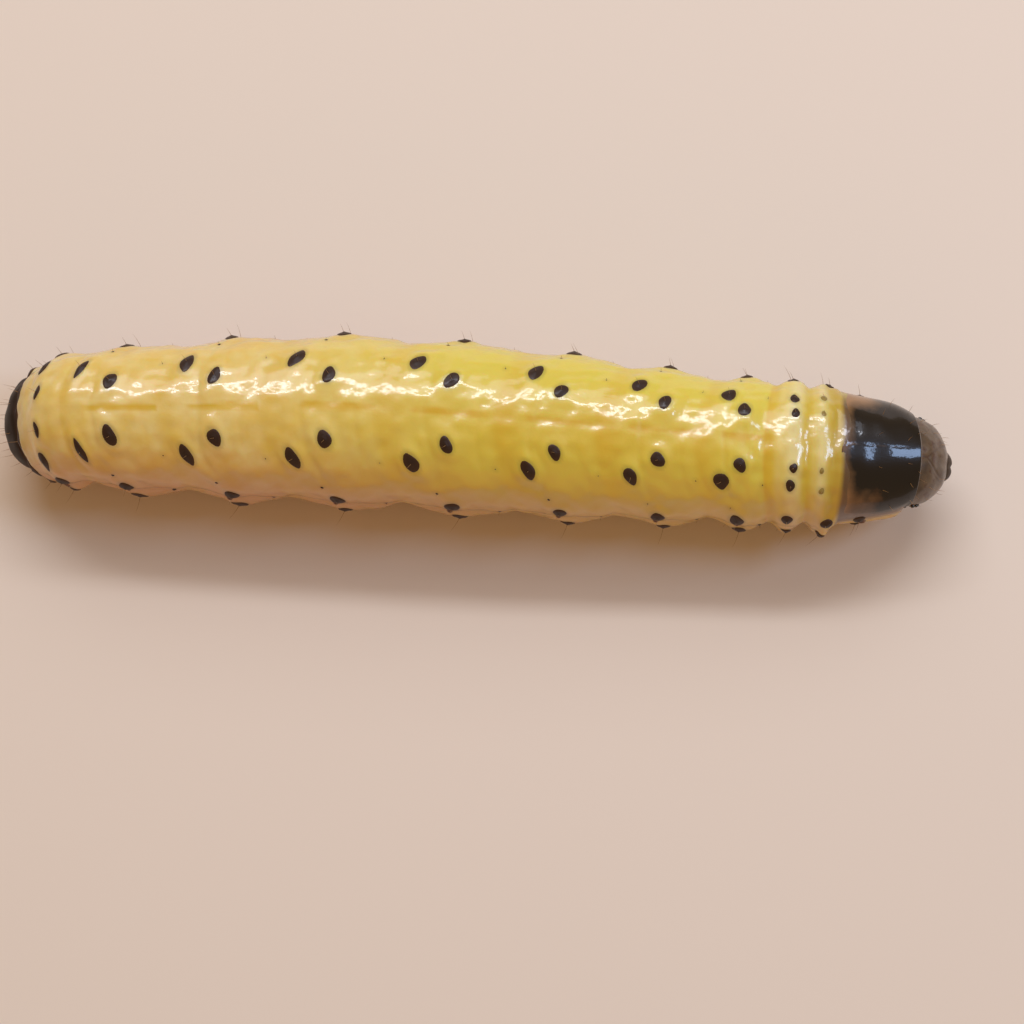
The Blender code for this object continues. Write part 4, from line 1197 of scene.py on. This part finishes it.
# Hooks of the prolegs
# Each sole ends in a ring of tiny dark horn hooks, points outward, with which the larva holds on.
HOOKS_EACH = 30
HOOK_LENGTH = 0.2
HOOK_THICKNESS = 0.022
HOOK_RING = 0.58
roots, ways, bends = [], [], []
for centre in proleg_centres():
    for step in range(HOOKS_EACH):
        swing = math.tau * step / HOOKS_EACH
        outward = np.array((math.cos(swing), math.sin(swing), 0.0))
        roots.append(np.array((*centre, 0.03)) + outward * HOOK_RING)
        ways.append(outward * 0.7 + np.array((0.0, 0.0, 0.25)))
        bends.append(outward * 0.1 + np.array((0.0, 0.0, -0.05)))
lengths = [HOOK_LENGTH] * len(roots)
bm, _ = rods(np.array(roots), np.array(ways), np.array(bends), lengths, HOOK_THICKNESS, 6, 6)
hook_horn = mouth_horn("dark hook horn", "#2c170b", 0.3)
piece_from(bm, "proleg_hooks", hook_horn, "skin")

# Camera, floor and light
# The photo looks down on the back, leaning a little to the larva's right. Soft daylight falls from its left,
# a bluer light from in front, and a weak warm one comes back from the right.
VIEW_FROM = 80.0
VIEW_DISTANCE = 230.0
FRAME_WIDTH = 56.2
PIXEL = FRAME_WIDTH / 1024
MIDDLE = Vector((0.0, 0.0, 4.5))
AIM_PIXELS = (33.5, 79.0)
lean = math.radians(VIEW_FROM)
back = Vector((0.0, -math.cos(lean), math.sin(lean)))
camera = bpy.data.objects.new("camera", bpy.data.cameras.new("camera"))
bpy.context.scene.collection.objects.link(camera)
camera.location = (MIDDLE + back * VIEW_DISTANCE) * MM
turn_right = Matrix.Rotation(-math.atan(AIM_PIXELS[0] * PIXEL / VIEW_DISTANCE), 3, "Y")
turn_down = Matrix.Rotation(-math.atan(AIM_PIXELS[1] * PIXEL / VIEW_DISTANCE), 3, "X")
camera.rotation_euler = (back.to_track_quat("Z", "Y").to_matrix() @ turn_down @ turn_right).to_euler()
camera.data.lens = camera.data.sensor_width * VIEW_DISTANCE / FRAME_WIDTH
camera.data.clip_start = 0.01
camera.data.clip_end = 10.0
bpy.context.scene.camera = camera

bm = bmesh.new()
bmesh.ops.create_grid(bm, x_segments=1, y_segments=1, size=1.5)
floor_mesh = bpy.data.meshes.new("floor")
bm.to_mesh(floor_mesh)
bm.free()
floor = bpy.data.objects.new("floor", floor_mesh)
floor.location.z = -0.02 * MM
bpy.context.scene.collection.objects.link(floor)
floor_paint, floor_tree, floor_shader = new_material("pale matt floor")
fill_inputs(floor_tree, floor_shader, {"Base Color": "#e4d4c2", "Roughness": 0.85})
floor_mesh.materials.append(floor_paint)


def add_light(name, tilt, turn, distance, size, power, colour):
    """A soft panel aimed at the larva: tilt from overhead and turn from +Y in degrees, lengths in mm."""
    light = bpy.data.lights.new(name, "AREA")
    light.shape = "RECTANGLE"
    light.size, light.size_y = size[0] * MM, size[1] * MM
    light.energy = power
    light.color = linear(colour)[:3]
    panel = bpy.data.objects.new(name, light)
    bpy.context.scene.collection.objects.link(panel)
    leant, turned = math.radians(tilt), math.radians(turn)
    way = Vector((math.sin(leant) * math.sin(turned), math.sin(leant) * math.cos(turned), math.cos(leant)))
    panel.location = (MIDDLE + way * distance) * MM
    panel.rotation_euler = way.to_track_quat("Z", "Y").to_euler()


add_light("window", 35.0, 0.0, 300.0, (300.0, 34.0), 0.42, "#eaf0ff")
add_light("window_glow", 42.0, 0.0, 420.0, (420.0, 260.0), 0.6, "#eaf0ff")
add_light("sky", 43.0, 79.0, 300.0, (84.0, 82.0), 0.26, "#b4d2ff")
add_light("warm_wall", 75.0, 180.0, 420.0, (420.0, 260.0), 0.18, "#ff9d55")
world = bpy.data.worlds.new("studio")
world.use_nodes = True
sky_light = {"Color": "#ffdcae", "Strength": 0.37}
fill_inputs(world.node_tree, world.node_tree.nodes["Background"], sky_light)
bpy.context.scene.world = world
bpy.context.scene.view_settings.view_transform = "Standard"
